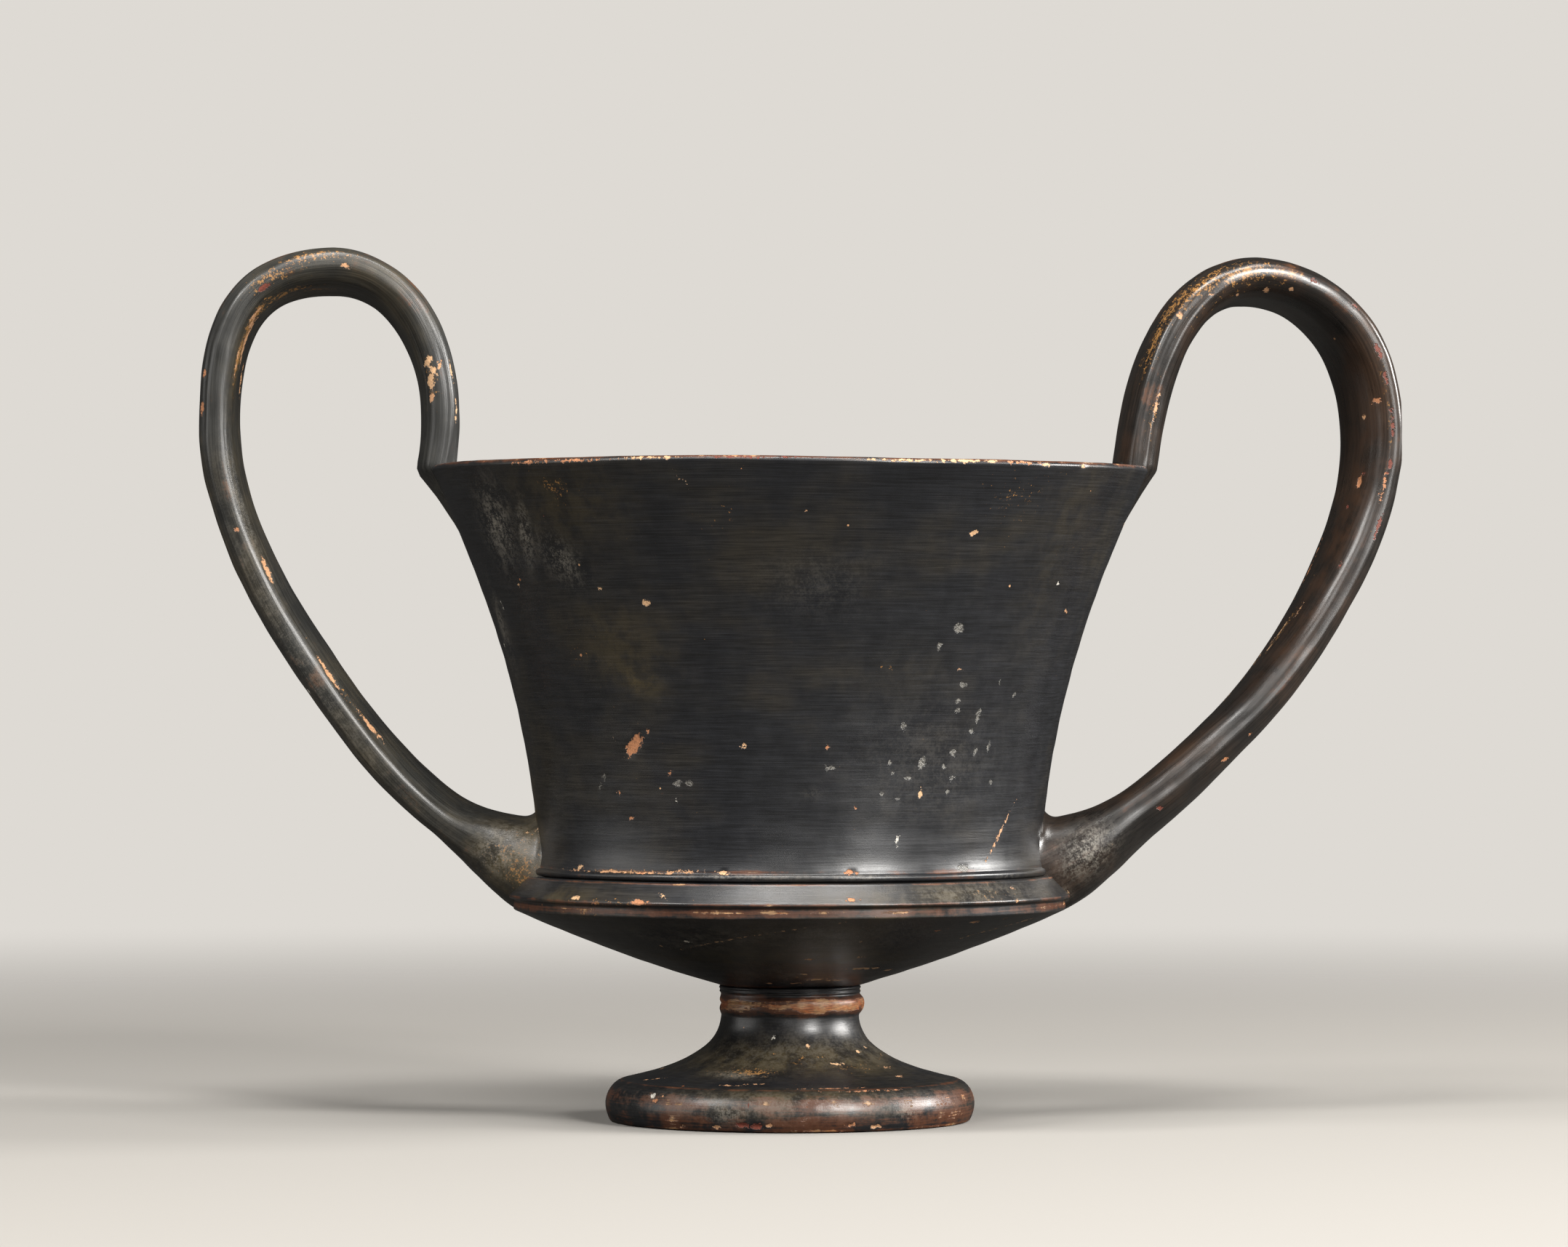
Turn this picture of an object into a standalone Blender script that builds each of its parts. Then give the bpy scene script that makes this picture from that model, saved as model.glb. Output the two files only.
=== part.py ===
"""Black-glaze kantharos: a stemmed drinking cup with two high-swung strap handles.

The cup is one fired ceramic body. One closed profile, turned about the cup's axis, gives the foot,
the ringed stem, the shallow underside, the sharp edge, the flaring wall and the insides of the bowl
and of the foot, so the clay is hollow where the real cup is hollow. Two lofted straps are joined to it.

Units are metres, +Z is up, +X runs through both handles and -Y faces the viewer. The cup stands on
z = 0 with the centre of its overall width and depth on the origin.
"""
import math

import bmesh
import bpy
from mathutils import Vector

# Foot, from the table up
FOOT_RADIUS = 0.0466
FOOT_EDGE_HEIGHT = 0.0101
FOOT_EDGE_INSET = 0.0012
REST_WIDTH = 0.0070
HOLLOW_HEIGHT = 0.0200
HOLLOW_TOP_RADIUS = 0.0050

# Stem with its ring
STEM_RADIUS = 0.0174
STEM_HEIGHT = 0.0164
STEM_SPREAD = 0.0076
RING_PROUD = 0.0014
RING_HEIGHT = 0.0064
NECK_RADIUS = 0.0176
NECK_HEIGHT = 0.0012

# Underside and the sharp edge above it
UNDERSIDE_RISE = 0.0193
UNDERSIDE_BULGE = 0.0010
EDGE_RADIUS = 0.0711
FASCIA_HEIGHT = 0.0028
FASCIA_INSET = 0.0013

# Sloping band between the edge and the foot of the wall
BAND_HEIGHT = 0.0052
BAND_WIDTH = 0.0061
GROOVE_HEIGHT = 0.0014
GROOVE_DEPTH = 0.0007
BEAD_HEIGHT = 0.0016

# Wall and lip
WAIST_RADIUS = 0.0637
WALL_HEIGHT = 0.1006
RIM_RADIUS = 0.0911
FLARE_POWER = 1.80
WALL_AT_WAIST = 0.0038
WALL_AT_LIP = 0.0025

# Bowl floor
FLOOR_THICKNESS = 0.0050
BOWL_CORNER = 0.0100

# Strap handles, sizes that both share
STRAP_WIDTH = 0.0220
STRAP_SQUARENESS = 3.2
TONGUE_LENGTH = 0.0240
TONGUE_WIDTH = 0.0150
TONGUE_THICKNESS = 0.0012
TONGUE_EASE = 1.8
ROOT_EMBED = 0.0016
ROOT_WIDTH = 0.0460
ROOT_THICKNESS = 0.0240
ROOT_SQUARENESS = 2.2
ROOT_LENGTH = 0.0300

# Each strap's own centreline and lie, from the lip over the arch and the elbow down to its root.
# It crosses the lip at lip_inset inside the rim. The reaches are measured outward from there, the
# rises and drops from the rim, and root_rise from the sharp edge.
HANDLES = {
    "left": {
        "side": -1.0,
        "thickness": 0.0094,
        "arch_thickness": 0.0100,
        "lip_inset": 0.0015,
        "lip_lean": math.radians(-11.3),
        "lip_pull": 0.0252,
        "arch_out": 0.0259,
        "arch_rise": 0.0493,
        "arch_pull_in": 0.0197,
        "arch_pull_out": 0.0228,
        "swing_out": 0.0546,
        "swing_rise": 0.0107,
        "swing_pull_up": 0.0232,
        "swing_pull_down": 0.0278,
        "elbow_out": 0.0205,
        "elbow_drop": 0.0642,
        "elbow_angle": math.radians(52.9),
        "elbow_pull_up": 0.0223,
        "elbow_pull_down": 0.0191,
        "root_rise": 0.0068,
        "root_pull": 0.0270,
        "root_angle": math.radians(24.0),
        "yaw": math.radians(3.0),
        "twist_at_arch": math.radians(12.0),
        "twist_at_swing": math.radians(8.0),
        "twist_at_root": math.radians(6.0),
    },
    "right": {
        "side": 1.0,
        "thickness": 0.0104,
        "arch_thickness": 0.0108,
        "lip_inset": 0.0038,
        "lip_lean": math.radians(6.6),
        "lip_pull": 0.0236,
        "arch_out": 0.0298,
        "arch_rise": 0.0473,
        "arch_pull_in": 0.0190,
        "arch_pull_out": 0.0125,
        "swing_out": 0.0625,
        "swing_rise": 0.0078,
        "swing_pull_up": 0.0305,
        "swing_pull_down": 0.0247,
        "elbow_out": 0.0246,
        "elbow_drop": 0.0664,
        "elbow_angle": math.radians(44.3),
        "elbow_pull_up": 0.0257,
        "elbow_pull_down": 0.0129,
        "root_rise": 0.0072,
        "root_pull": 0.0210,
        "root_angle": math.radians(14.0),
        "yaw": math.radians(-14.0),
        "twist_at_arch": math.radians(9.0),
        "twist_at_swing": math.radians(-5.0),
        "twist_at_root": math.radians(-3.0),
    },
}

# Fineness of the faceted solid
TURN_STEPS = 48
STRAP_SIDES = 14
TONGUE_RINGS = 4
RISE_RINGS = 9
ARCH_RINGS = 9
SWING_RINGS = 7
ROOT_RINGS = 8

# Heights of the main levels, added up from the table
STEM_BASE_Z = FOOT_EDGE_HEIGHT
RING_BASE_Z = STEM_BASE_Z + STEM_HEIGHT
RING_TOP_Z = RING_BASE_Z + RING_HEIGHT
NECK_TOP_Z = RING_TOP_Z + NECK_HEIGHT
UNDERSIDE_TOP_Z = NECK_TOP_Z + UNDERSIDE_RISE
EDGE_Z = UNDERSIDE_TOP_Z + FASCIA_HEIGHT
BAND_TOP_Z = EDGE_Z + BAND_HEIGHT
BEAD_BASE_Z = BAND_TOP_Z + GROOVE_HEIGHT
WAIST_Z = BEAD_BASE_Z + BEAD_HEIGHT
RIM_Z = WAIST_Z + WALL_HEIGHT


def bezier(start, pull_start, pull_end, end, steps):
    """Points of a cubic curve after its start, as (radius, height) pairs."""
    points = []
    for step in range(1, steps + 1):
        t = step / steps
        u = 1.0 - t
        weights = (u ** 3, 3 * u * u * t, 3 * u * t * t, t ** 3)
        corners = (start, pull_start, pull_end, end)
        points.append(tuple(sum(w * c[axis] for w, c in zip(weights, corners)) for axis in (0, 1)))
    return points


def bow(start, end, sag, steps):
    """Points after the start of a shallow arc that leaves the straight line by sag, to its right."""
    run = (end[0] - start[0], end[1] - start[1])
    length = math.hypot(*run)
    across = (run[1] / length, -run[0] / length)
    points = []
    for step in range(1, steps + 1):
        t = step / steps
        lift = 4.0 * t * (1.0 - t) * sag
        points.append((start[0] + run[0] * t + across[0] * lift, start[1] + run[1] * t + across[1] * lift))
    return points


def wall_radius(z):
    """Outer radius of the wall: a power curve from the waist out to the rim."""
    share = min(max((z - WAIST_Z) / WALL_HEIGHT, 0.0), 1.0)
    return WAIST_RADIUS + (RIM_RADIUS - WAIST_RADIUS) * share ** FLARE_POWER


def wall_thickness(z):
    """Thickness of the wall, thinning evenly from the waist to the lip."""
    share = min(max((z - WAIST_Z) / WALL_HEIGHT, 0.0), 1.0)
    return WALL_AT_WAIST + (WALL_AT_LIP - WALL_AT_WAIST) * share


def foot_hollow_profile():
    """Inside of the foot, from a small flat under the stem down to the resting ring."""
    rim = FOOT_RADIUS - FOOT_EDGE_INSET - REST_WIDTH
    top = (HOLLOW_TOP_RADIUS, HOLLOW_HEIGHT)
    points = [(0.0, HOLLOW_HEIGHT), top]
    points += bezier(top, (HOLLOW_TOP_RADIUS * 1.9, HOLLOW_HEIGHT * 0.55),
                     (rim * 0.86, HOLLOW_HEIGHT * 0.35), (rim, 0.0), 6)
    return points


def foot_profile():
    """Resting ring, rounded edge of the foot, the cone above it, and the stem up to its ring."""
    base = (FOOT_RADIUS - FOOT_EDGE_INSET, 0.0)
    crease = (FOOT_RADIUS - 2.0 * FOOT_EDGE_INSET, FOOT_EDGE_HEIGHT)
    belly = FOOT_RADIUS + FOOT_EDGE_INSET / 2
    points = [base]
    points += bezier(base, (belly, FOOT_EDGE_HEIGHT * 0.15), (belly, FOOT_EDGE_HEIGHT * 0.95), crease, 5)
    stem_top = (STEM_RADIUS, RING_BASE_Z)
    points += bezier(crease, (STEM_RADIUS + STEM_SPREAD, STEM_BASE_Z + STEM_HEIGHT * 0.23),
                     (STEM_RADIUS, STEM_BASE_Z + STEM_HEIGHT * 0.57), stem_top, 8)
    return points


def stem_ring_profile():
    """Half-round ring on the stem and the short neck above it."""
    middle = STEM_RADIUS + RING_PROUD
    lower = (STEM_RADIUS, RING_BASE_Z)
    upper = (NECK_RADIUS, RING_TOP_Z)
    points = bezier(lower, (middle + RING_PROUD / 3, RING_BASE_Z + RING_HEIGHT * 0.2),
                    (middle + RING_PROUD / 3, RING_TOP_Z - RING_HEIGHT * 0.2), upper, 5)
    points.append((NECK_RADIUS, NECK_TOP_Z))
    return points


def underside_profile():
    """Shallow bulging cone under the bowl, and the small upright fascia below the edge."""
    fascia = EDGE_RADIUS - FASCIA_INSET
    points = bow((NECK_RADIUS, NECK_TOP_Z), (fascia, UNDERSIDE_TOP_Z), UNDERSIDE_BULGE, 6)
    points.append((fascia, EDGE_Z - FASCIA_INSET / 3))
    return points


def band_profile():
    """Sharp edge, sloping band, fine groove and the bead at the foot of the wall."""
    groove = WAIST_RADIUS + GROOVE_DEPTH / 2
    return [
        (EDGE_RADIUS, EDGE_Z),
        (EDGE_RADIUS - FASCIA_INSET / 2, EDGE_Z + BAND_HEIGHT / 4),
        (EDGE_RADIUS - BAND_WIDTH, BAND_TOP_Z),
        (groove, BAND_TOP_Z + GROOVE_HEIGHT / 3),
        (groove, BEAD_BASE_Z),
        (groove + GROOVE_DEPTH, BEAD_BASE_Z + BEAD_HEIGHT / 2),
        (WAIST_RADIUS, WAIST_Z),
    ]


def wall_profile(steps=11):
    """Flaring wall from the waist to just under the rounded lip."""
    top = RIM_Z - WALL_AT_LIP / 2
    heights = [WAIST_Z + (top - WAIST_Z) * step / steps for step in range(1, steps + 1)]
    return [(wall_radius(z), z) for z in heights]


def lip_profile():
    """Half circle over the top of the wall."""
    radius = WALL_AT_LIP / 2
    centre = (RIM_RADIUS - radius, RIM_Z - radius)
    angles = [math.radians(45.0 * step) for step in (1, 2, 3, 4)]
    return [(centre[0] + radius * math.cos(a), centre[1] + radius * math.sin(a)) for a in angles]


def bowl_profile(steps=8):
    """Inside of the bowl from under the lip down to the axis, offset from the outside by the wall."""
    top = RIM_Z - WALL_AT_LIP / 2
    corner_z = EDGE_Z + BOWL_CORNER
    heights = [top + (corner_z - top) * step / steps for step in range(1, steps + 1)]
    points = [(wall_radius(z) - wall_thickness(z), z) for z in heights]
    inner = wall_radius(corner_z) - wall_thickness(corner_z)
    floor_rim = (inner - BOWL_CORNER, EDGE_Z - BOWL_CORNER * 0.25)
    points += bezier((inner, corner_z), (inner, corner_z - BOWL_CORNER * 0.7),
                     (inner - BOWL_CORNER * 0.35, floor_rim[1] + BOWL_CORNER * 0.25), floor_rim, 4)
    floor_z = NECK_TOP_Z + FLOOR_THICKNESS
    points += bezier(floor_rim, (floor_rim[0] * 0.62, floor_z + (floor_rim[1] - floor_z) * 0.45),
                     (floor_rim[0] * 0.35, floor_z), (0.0, floor_z), 5)
    return points


def turned(name, profile, axis_x):
    """Solid of revolution of a profile that starts and ends on the cup's axis."""
    mesh = bmesh.new()
    verts = [mesh.verts.new((axis_x + radius, 0.0, height)) for radius, height in profile]
    edges = [mesh.edges.new(pair) for pair in zip(verts, verts[1:])]
    bmesh.ops.spin(mesh, geom=verts + edges, cent=(axis_x, 0.0, 0.0), axis=(0.0, 0.0, 1.0),
                   angle=math.tau, steps=TURN_STEPS, use_merge=True)
    bmesh.ops.remove_doubles(mesh, verts=mesh.verts, dist=0.00001)
    bmesh.ops.recalc_face_normals(mesh, faces=mesh.faces)
    return mesh_object(name, mesh)


def mesh_object(name, mesh):
    """Link a finished bmesh to the scene as one smooth object."""
    data = bpy.data.meshes.new(name)
    mesh.to_mesh(data)
    mesh.free()
    data.shade_smooth()
    data.set_sharp_from_angle(angle=math.radians(35.0))
    made = bpy.data.objects.new(name, data)
    bpy.context.scene.collection.objects.link(made)
    return made


def smooth_step(share):
    """Ease from 0 to 1 with level ends."""
    share = min(max(share, 0.0), 1.0)
    return share * share * (3.0 - 2.0 * share)


def rounded(value, squareness):
    """Squared-off sine, so that a section is a rounded bar and not an ellipse."""
    return math.copysign(abs(value) ** (2.0 / squareness), value)


def blend(start, end, share):
    """Sizes part of the way from one set to another."""
    return [a + (b - a) * share for a, b in zip(start, end)]


def tongue_stations(handle):
    """Thin tongue smeared over the wall under the lip, growing to the full bar at the lip itself."""
    thin = [TONGUE_THICKNESS, TONGUE_WIDTH, 0.0, 0.0, 2.0]
    full = [handle["thickness"], STRAP_WIDTH, 0.0, 0.5, STRAP_SQUARENESS]
    offset = WALL_AT_LIP / 2 - handle["lip_inset"]
    rows = []
    for step in range(TONGUE_RINGS + 1):
        share = step / TONGUE_RINGS
        z = RIM_Z - TONGUE_LENGTH * (1.0 - share)
        middle = wall_radius(z) - wall_thickness(z) / 2
        sizes = blend(thin, full, share ** TONGUE_EASE)
        sizes[1] = TONGUE_WIDTH + (STRAP_WIDTH - TONGUE_WIDTH) * share
        rows.append(((middle + offset * share * share, z), sizes))
    return rows


def strap_stations(handle):
    """Centre and size of every ring of one strap, from the tongue under the lip to the root.

    A size is thickness, width, twist, share of the handle's own yaw, and squareness.
    """
    rows = tongue_stations(handle)

    def add(corners, steps, start, end):
        points = bezier(*corners, steps)
        for number, point in enumerate(points, 1):
            rows.append((point, blend(start, end, number / steps)))

    lip = (RIM_RADIUS - handle["lip_inset"], RIM_Z)
    arch = (lip[0] + handle["arch_out"], RIM_Z + handle["arch_rise"])
    swing = (lip[0] + handle["swing_out"], RIM_Z + handle["swing_rise"])
    elbow = (lip[0] + handle["elbow_out"], RIM_Z - handle["elbow_drop"])
    root = (WAIST_RADIUS - ROOT_EMBED, EDGE_Z + handle["root_rise"])
    lean = handle["lip_lean"]
    bend = (math.cos(handle["elbow_angle"]), math.sin(handle["elbow_angle"]))
    climb = (math.cos(handle["root_angle"]), math.sin(handle["root_angle"]))
    full = STRAP_SQUARENESS
    at_lip = rows[-1][1]
    at_arch = [handle["arch_thickness"], STRAP_WIDTH, handle["twist_at_arch"], 1.0, full]
    at_swing = [handle["thickness"], STRAP_WIDTH, handle["twist_at_swing"], 1.0, full]
    at_root = [handle["thickness"], STRAP_WIDTH, handle["twist_at_root"], 1.0, full]
    at_elbow = blend(at_swing, at_root, 0.5)
    add((lip, offset_point(lip, (math.sin(lean), math.cos(lean)), handle["lip_pull"]),
         (arch[0] - handle["arch_pull_in"], arch[1]), arch), RISE_RINGS, at_lip, at_arch)
    add((arch, (arch[0] + handle["arch_pull_out"], arch[1]),
         (swing[0], swing[1] + handle["swing_pull_up"]), swing), ARCH_RINGS, at_arch, at_swing)
    add((swing, (swing[0], swing[1] - handle["swing_pull_down"]),
         offset_point(elbow, bend, handle["elbow_pull_up"]), elbow), SWING_RINGS, at_swing, at_elbow)
    add((elbow, offset_point(elbow, bend, -handle["elbow_pull_down"]),
         offset_point(root, climb, handle["root_pull"]), root), ROOT_RINGS, at_elbow, at_root)
    flare = [ROOT_THICKNESS, ROOT_WIDTH, 0.0, 0.0, ROOT_SQUARENESS]
    for point, size in rows[-SWING_RINGS - ROOT_RINGS:]:
        near = smooth_step(1.0 - math.dist(point, root) / ROOT_LENGTH)
        size[:] = blend(size, flare, near)
    return rows


def offset_point(point, direction, distance):
    """Point moved a distance along a direction, both as (radius, height) pairs."""
    return (point[0] + direction[0] * distance, point[1] + direction[1] * distance)


def strap_sections(handle):
    """Rings of (outward, sideways, height) points of one strap, wrapped around the cup's axis.

    The yaw swings the loop sideways about the lip, and turns each section with it.
    """
    rows = strap_stations(handle)
    centres = [row[0] for row in rows]
    swing = -math.tan(handle["yaw"])
    rings = []
    for number, (centre, (thickness, width, twist, yaw_share, squareness)) in enumerate(rows):
        before = centres[max(number - 1, 0)]
        after = centres[min(number + 1, len(rows) - 1)]
        tangent = Vector((after[0] - before[0], after[1] - before[1])).normalized()
        if number == len(rows) - 1:
            tangent = Vector((-1.0, 0.0))
        outward = Vector((-tangent.y, tangent.x))
        shift = (centre[0] - RIM_RADIUS + handle["lip_inset"]) * swing
        ring = []
        for side in range(STRAP_SIDES):
            angle = math.tau * (side + 0.5) / STRAP_SIDES
            across = rounded(math.cos(angle), squareness) * width / 2
            over = rounded(math.sin(angle), squareness) * thickness / 2
            lateral = across * math.cos(twist) + over * math.sin(twist)
            lift = over * math.cos(twist) - across * math.sin(twist)
            radius = centre[0] + outward.x * lift - lateral * swing * yaw_share
            turn = (lateral + shift) / radius
            ring.append((radius * math.cos(turn), radius * math.sin(turn), centre[1] + outward.y * lift))
        rings.append(ring)
    return rings


def strap(name, sections, side, axis_x):
    """Skin one strap's rings on its own side of the cup."""
    mesh = bmesh.new()
    rings = [[mesh.verts.new((axis_x + side * out, sideways, z)) for out, sideways, z in section]
             for section in sections]
    for lower, upper in zip(rings, rings[1:]):
        for corner in range(STRAP_SIDES):
            other = (corner + 1) % STRAP_SIDES
            mesh.faces.new((lower[corner], lower[other], upper[other], upper[corner]))
    mesh.faces.new(rings[0])
    mesh.faces.new(rings[-1])
    bmesh.ops.recalc_face_normals(mesh, faces=mesh.faces)
    return mesh_object(name, mesh)


def join(body, tool):
    """Join a hidden piece to the body with an exact Boolean union."""
    tool.hide_render = True
    tool.display_type = "WIRE"
    modifier = body.modifiers.new(tool.name, "BOOLEAN")
    modifier.operation = "UNION"
    modifier.solver = "EXACT"
    modifier.object = tool


def black_gloss():
    """Fired clay slip: near-black, a little warm, with a satin shine."""
    material = bpy.data.materials.new("black_gloss")
    material.use_nodes = True
    shader = material.node_tree.nodes["Principled BSDF"]
    shader.inputs["Base Color"].default_value = (0.013, 0.012, 0.011, 1.0)
    shader.inputs["Roughness"].default_value = 0.32
    shader.inputs["Metallic"].default_value = 0.0
    return material


def build():
    """Clear the scene and make the cup, with the middle of its overall width on the origin."""
    for old in list(bpy.data.objects):
        bpy.data.objects.remove(old, do_unlink=True)
    sections = {name: strap_sections(handle) for name, handle in HANDLES.items()}
    reach = {name: max(point[0] for ring in rings for point in ring) for name, rings in sections.items()}
    axis_x = (reach["left"] - reach["right"]) / 2
    profile = foot_hollow_profile() + foot_profile() + stem_ring_profile() + underside_profile()
    profile += band_profile() + wall_profile() + lip_profile() + bowl_profile()
    cup = turned("kantharos", profile, axis_x)
    cup.data.materials.append(black_gloss())
    for name, handle in HANDLES.items():
        join(cup, strap(name + "_handle", sections[name], handle["side"], axis_x))
    return axis_x


build()
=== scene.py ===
"""Looks of the black-glaze kantharos: the fired slip, its wear, and the fine shape of the clay.

The cup is one fired piece. Its looks are five closed surfaces that meet in creases of the real cup: the
bowl, the base with its sharp edge, the foot, and the two strap handles. Every surface is a grid of two
parameters, one round a ring and one along a run, so that streaks, chips and stains follow the clay.
Units are metres unless a name or a note says millimetres.
"""

import logging
import math
from dataclasses import dataclass, field
from enum import Enum

import bpy
import numpy as np
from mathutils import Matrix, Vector


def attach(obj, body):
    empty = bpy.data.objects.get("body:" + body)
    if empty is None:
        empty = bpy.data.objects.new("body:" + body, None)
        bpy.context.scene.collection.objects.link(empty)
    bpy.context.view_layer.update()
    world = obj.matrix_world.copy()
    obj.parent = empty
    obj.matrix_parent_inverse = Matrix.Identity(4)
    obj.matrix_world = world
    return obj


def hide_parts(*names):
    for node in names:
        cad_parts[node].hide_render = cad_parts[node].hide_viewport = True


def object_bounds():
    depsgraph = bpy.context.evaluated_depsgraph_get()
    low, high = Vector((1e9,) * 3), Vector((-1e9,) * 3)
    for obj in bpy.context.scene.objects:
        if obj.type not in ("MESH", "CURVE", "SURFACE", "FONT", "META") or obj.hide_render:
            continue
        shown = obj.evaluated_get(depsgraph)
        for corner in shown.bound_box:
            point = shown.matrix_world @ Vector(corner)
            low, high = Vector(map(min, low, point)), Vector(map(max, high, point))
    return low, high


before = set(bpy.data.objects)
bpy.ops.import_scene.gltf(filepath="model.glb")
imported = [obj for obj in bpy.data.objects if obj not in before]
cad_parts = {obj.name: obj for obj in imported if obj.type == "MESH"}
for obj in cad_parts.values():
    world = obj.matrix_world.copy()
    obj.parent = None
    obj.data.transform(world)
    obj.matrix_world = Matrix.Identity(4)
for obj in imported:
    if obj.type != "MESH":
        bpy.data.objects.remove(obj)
CAD_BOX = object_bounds()

LOG = logging.getLogger("kantharos")
BODY = "root"
NODE = "kantharos"
MM = 0.001
# Smallest step between two points of a turned outline
HAIR = 0.1 * MM


def per_mm(millimetres: float) -> float:
    """Texture scale that makes one noise cell the given real size.

    Args:
        millimetres: size of a cell on the object.

    Returns:
        Cells in a metre, as the texture nodes want it.
    """
    return 1.0 / (millimetres * MM)


def smooth_step(share: np.ndarray) -> np.ndarray:
    """Ease from 0 to 1 with level ends: three times the square less twice the cube."""
    held = np.clip(share, 0.0, 1.0)
    return held * held * (3.0 - 2.0 * held)


def bezier(start: tuple, pull_start: tuple, pull_end: tuple, end: tuple, count: int) -> np.ndarray:
    """Points of a cubic curve: the four corners weighted by the Bernstein shares of t.

    Args:
        start: first point, as radius and height.
        pull_start: corner that gives the direction at the start.
        pull_end: corner that gives the direction at the end.
        end: last point.
        count: number of points, both ends included.

    Returns:
        Array of count rows of radius and height.
    """
    t = np.linspace(0.0, 1.0, count)
    u = 1.0 - t
    weights = np.stack([u ** 3, 3 * u * u * t, 3 * u * t * t, t ** 3], axis=1)
    return weights @ np.array([start, pull_start, pull_end, end])


class Ripple:
    """Seeded smooth unevenness: a sum of plane cosine waves that run in all directions."""

    def __init__(self, wavelength_mm: float, seed: int, waves: int = 16) -> None:
        """Draw the waves.

        Args:
            wavelength_mm: mean length of a wave on the object.
            seed: number that fixes the draw.
            waves: how many waves are summed.
        """
        rng = np.random.default_rng(seed)
        ways = rng.normal(size=(waves, 3))
        ways /= np.linalg.norm(ways, axis=1, keepdims=True)
        lengths = wavelength_mm * MM * rng.uniform(0.75, 1.35, size=(waves, 1))
        self.ways = ways * (math.tau / lengths)
        self.phases = rng.uniform(0.0, math.tau, size=waves)

    def __call__(self, points: np.ndarray) -> np.ndarray:
        """Sum of the waves at each point, scaled to a spread of about one."""
        waves = np.cos(points @ self.ways.T + self.phases)
        return waves.sum(axis=-1) / math.sqrt(len(self.phases) / 2.0)


@dataclass(frozen=True)
class Sight:
    """The photograph's view, which also places each mark that was read from it.

    The frame is 2156 by 1715 pixels. Sizes are those in the plane of the cup's axis.
    """

    axis_x: float
    width_px: float = 2156.0
    height_px: float = 1715.0
    axis_px: float = 1086.0
    horizon_px: float = 910.0
    metres_per_px: float = 0.000184
    distance: float = 1.564
    eye_height: float = 0.1157
    sensor_mm: float = 36.0

    @property
    def eye(self) -> np.ndarray:
        """Place of the eye: level with the horizon line, in front of the middle of the frame."""
        aside = (self.width_px / 2 - self.axis_px) * self.metres_per_px
        return np.array([self.axis_x + aside, -self.distance, self.eye_height])

    def project(self, points: np.ndarray) -> np.ndarray:
        """Pixels that points land on: offsets from the eye, divided by the depth's share.

        Args:
            points: array whose last axis holds x, y and z.

        Returns:
            Array whose last axis holds the pixel across and the pixel down.
        """
        away = points - self.eye
        scale = self.metres_per_px * away[..., 1] / self.distance
        across = self.width_px / 2 + away[..., 0] / scale
        down = self.horizon_px - away[..., 2] / scale
        return np.stack([across, down], axis=-1)

    def camera(self) -> bpy.types.Object:
        """Camera with this view. The horizon below the middle is a small tilt up, not a shift.

        Returns:
            The scene's camera.
        """
        data = bpy.data.cameras.new("photo_view")
        data.sensor_width = self.sensor_mm
        data.lens = self.sensor_mm * self.distance / (self.width_px * self.metres_per_px)
        data.clip_start = 0.05
        data.clip_end = 50.0
        made = bpy.data.objects.new("photo_view", data)
        made.location = Vector(self.eye)
        rise = (self.horizon_px - self.height_px / 2) * self.metres_per_px
        made.rotation_euler = (math.pi / 2 + math.atan2(rise, self.distance), 0.0, 0.0)
        bpy.context.scene.collection.objects.link(made)
        bpy.context.scene.camera = made
        return made


class Flaw(Enum):
    """Kinds of small damage, with how deep each goes in millimetres."""

    CHIP = 0.30
    FLECK = 0.05
    PIT = 0.12


class Tone(Enum):
    """What a spot of lost slip shows, from red clay at 0 to white lime at 1."""

    RED = 0.0
    ORANGE = 0.25
    OCHRE = 0.5
    CREAM = 0.75
    WHITE = 1.0


@dataclass(frozen=True)
class Mark:
    """One spot of damage, read from the photograph.

    x and y are its centre there in pixels. Length and width are real millimetres, and lean is the
    turn of its length from the ring's direction towards the run, in degrees.
    """

    flaw: Flaw
    tone: Tone
    x: float
    y: float
    length: float
    width: float
    lean: float = 0.0

    @classmethod
    def listed(cls, *kinds: tuple) -> tuple["Mark", ...]:
        """Marks in groups of one flaw and tone. Each row holds x, y, length, width and any lean."""
        return tuple(cls(flaw, tone, *row) for flaw, tone, *rows in kinds for row in rows)


class Stain(Enum):
    """Broad soft stains, with the channel that carries each."""

    # The first channel is pale salt bloom, and in some clouds painted highlight that brightens places where
    # the lights shine
    BLOOM_AND_HIGHLIGHT = 0
    MISFIRE = 1
    OCHRE = 2


@dataclass(frozen=True)
class Cloud:
    """One soft stain, placed as a Mark is. Strength is 0 to 1."""

    stain: Stain
    strength: float
    x: float
    y: float
    length: float
    width: float
    lean: float = 0.0

    @classmethod
    def listed(cls, *kinds: tuple) -> tuple["Cloud", ...]:
        """Stains in groups of one kind. Each row holds strength, x, y, length, width and any lean."""
        return tuple(cls(stain, *row) for stain, *rows in kinds for row in rows)


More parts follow.
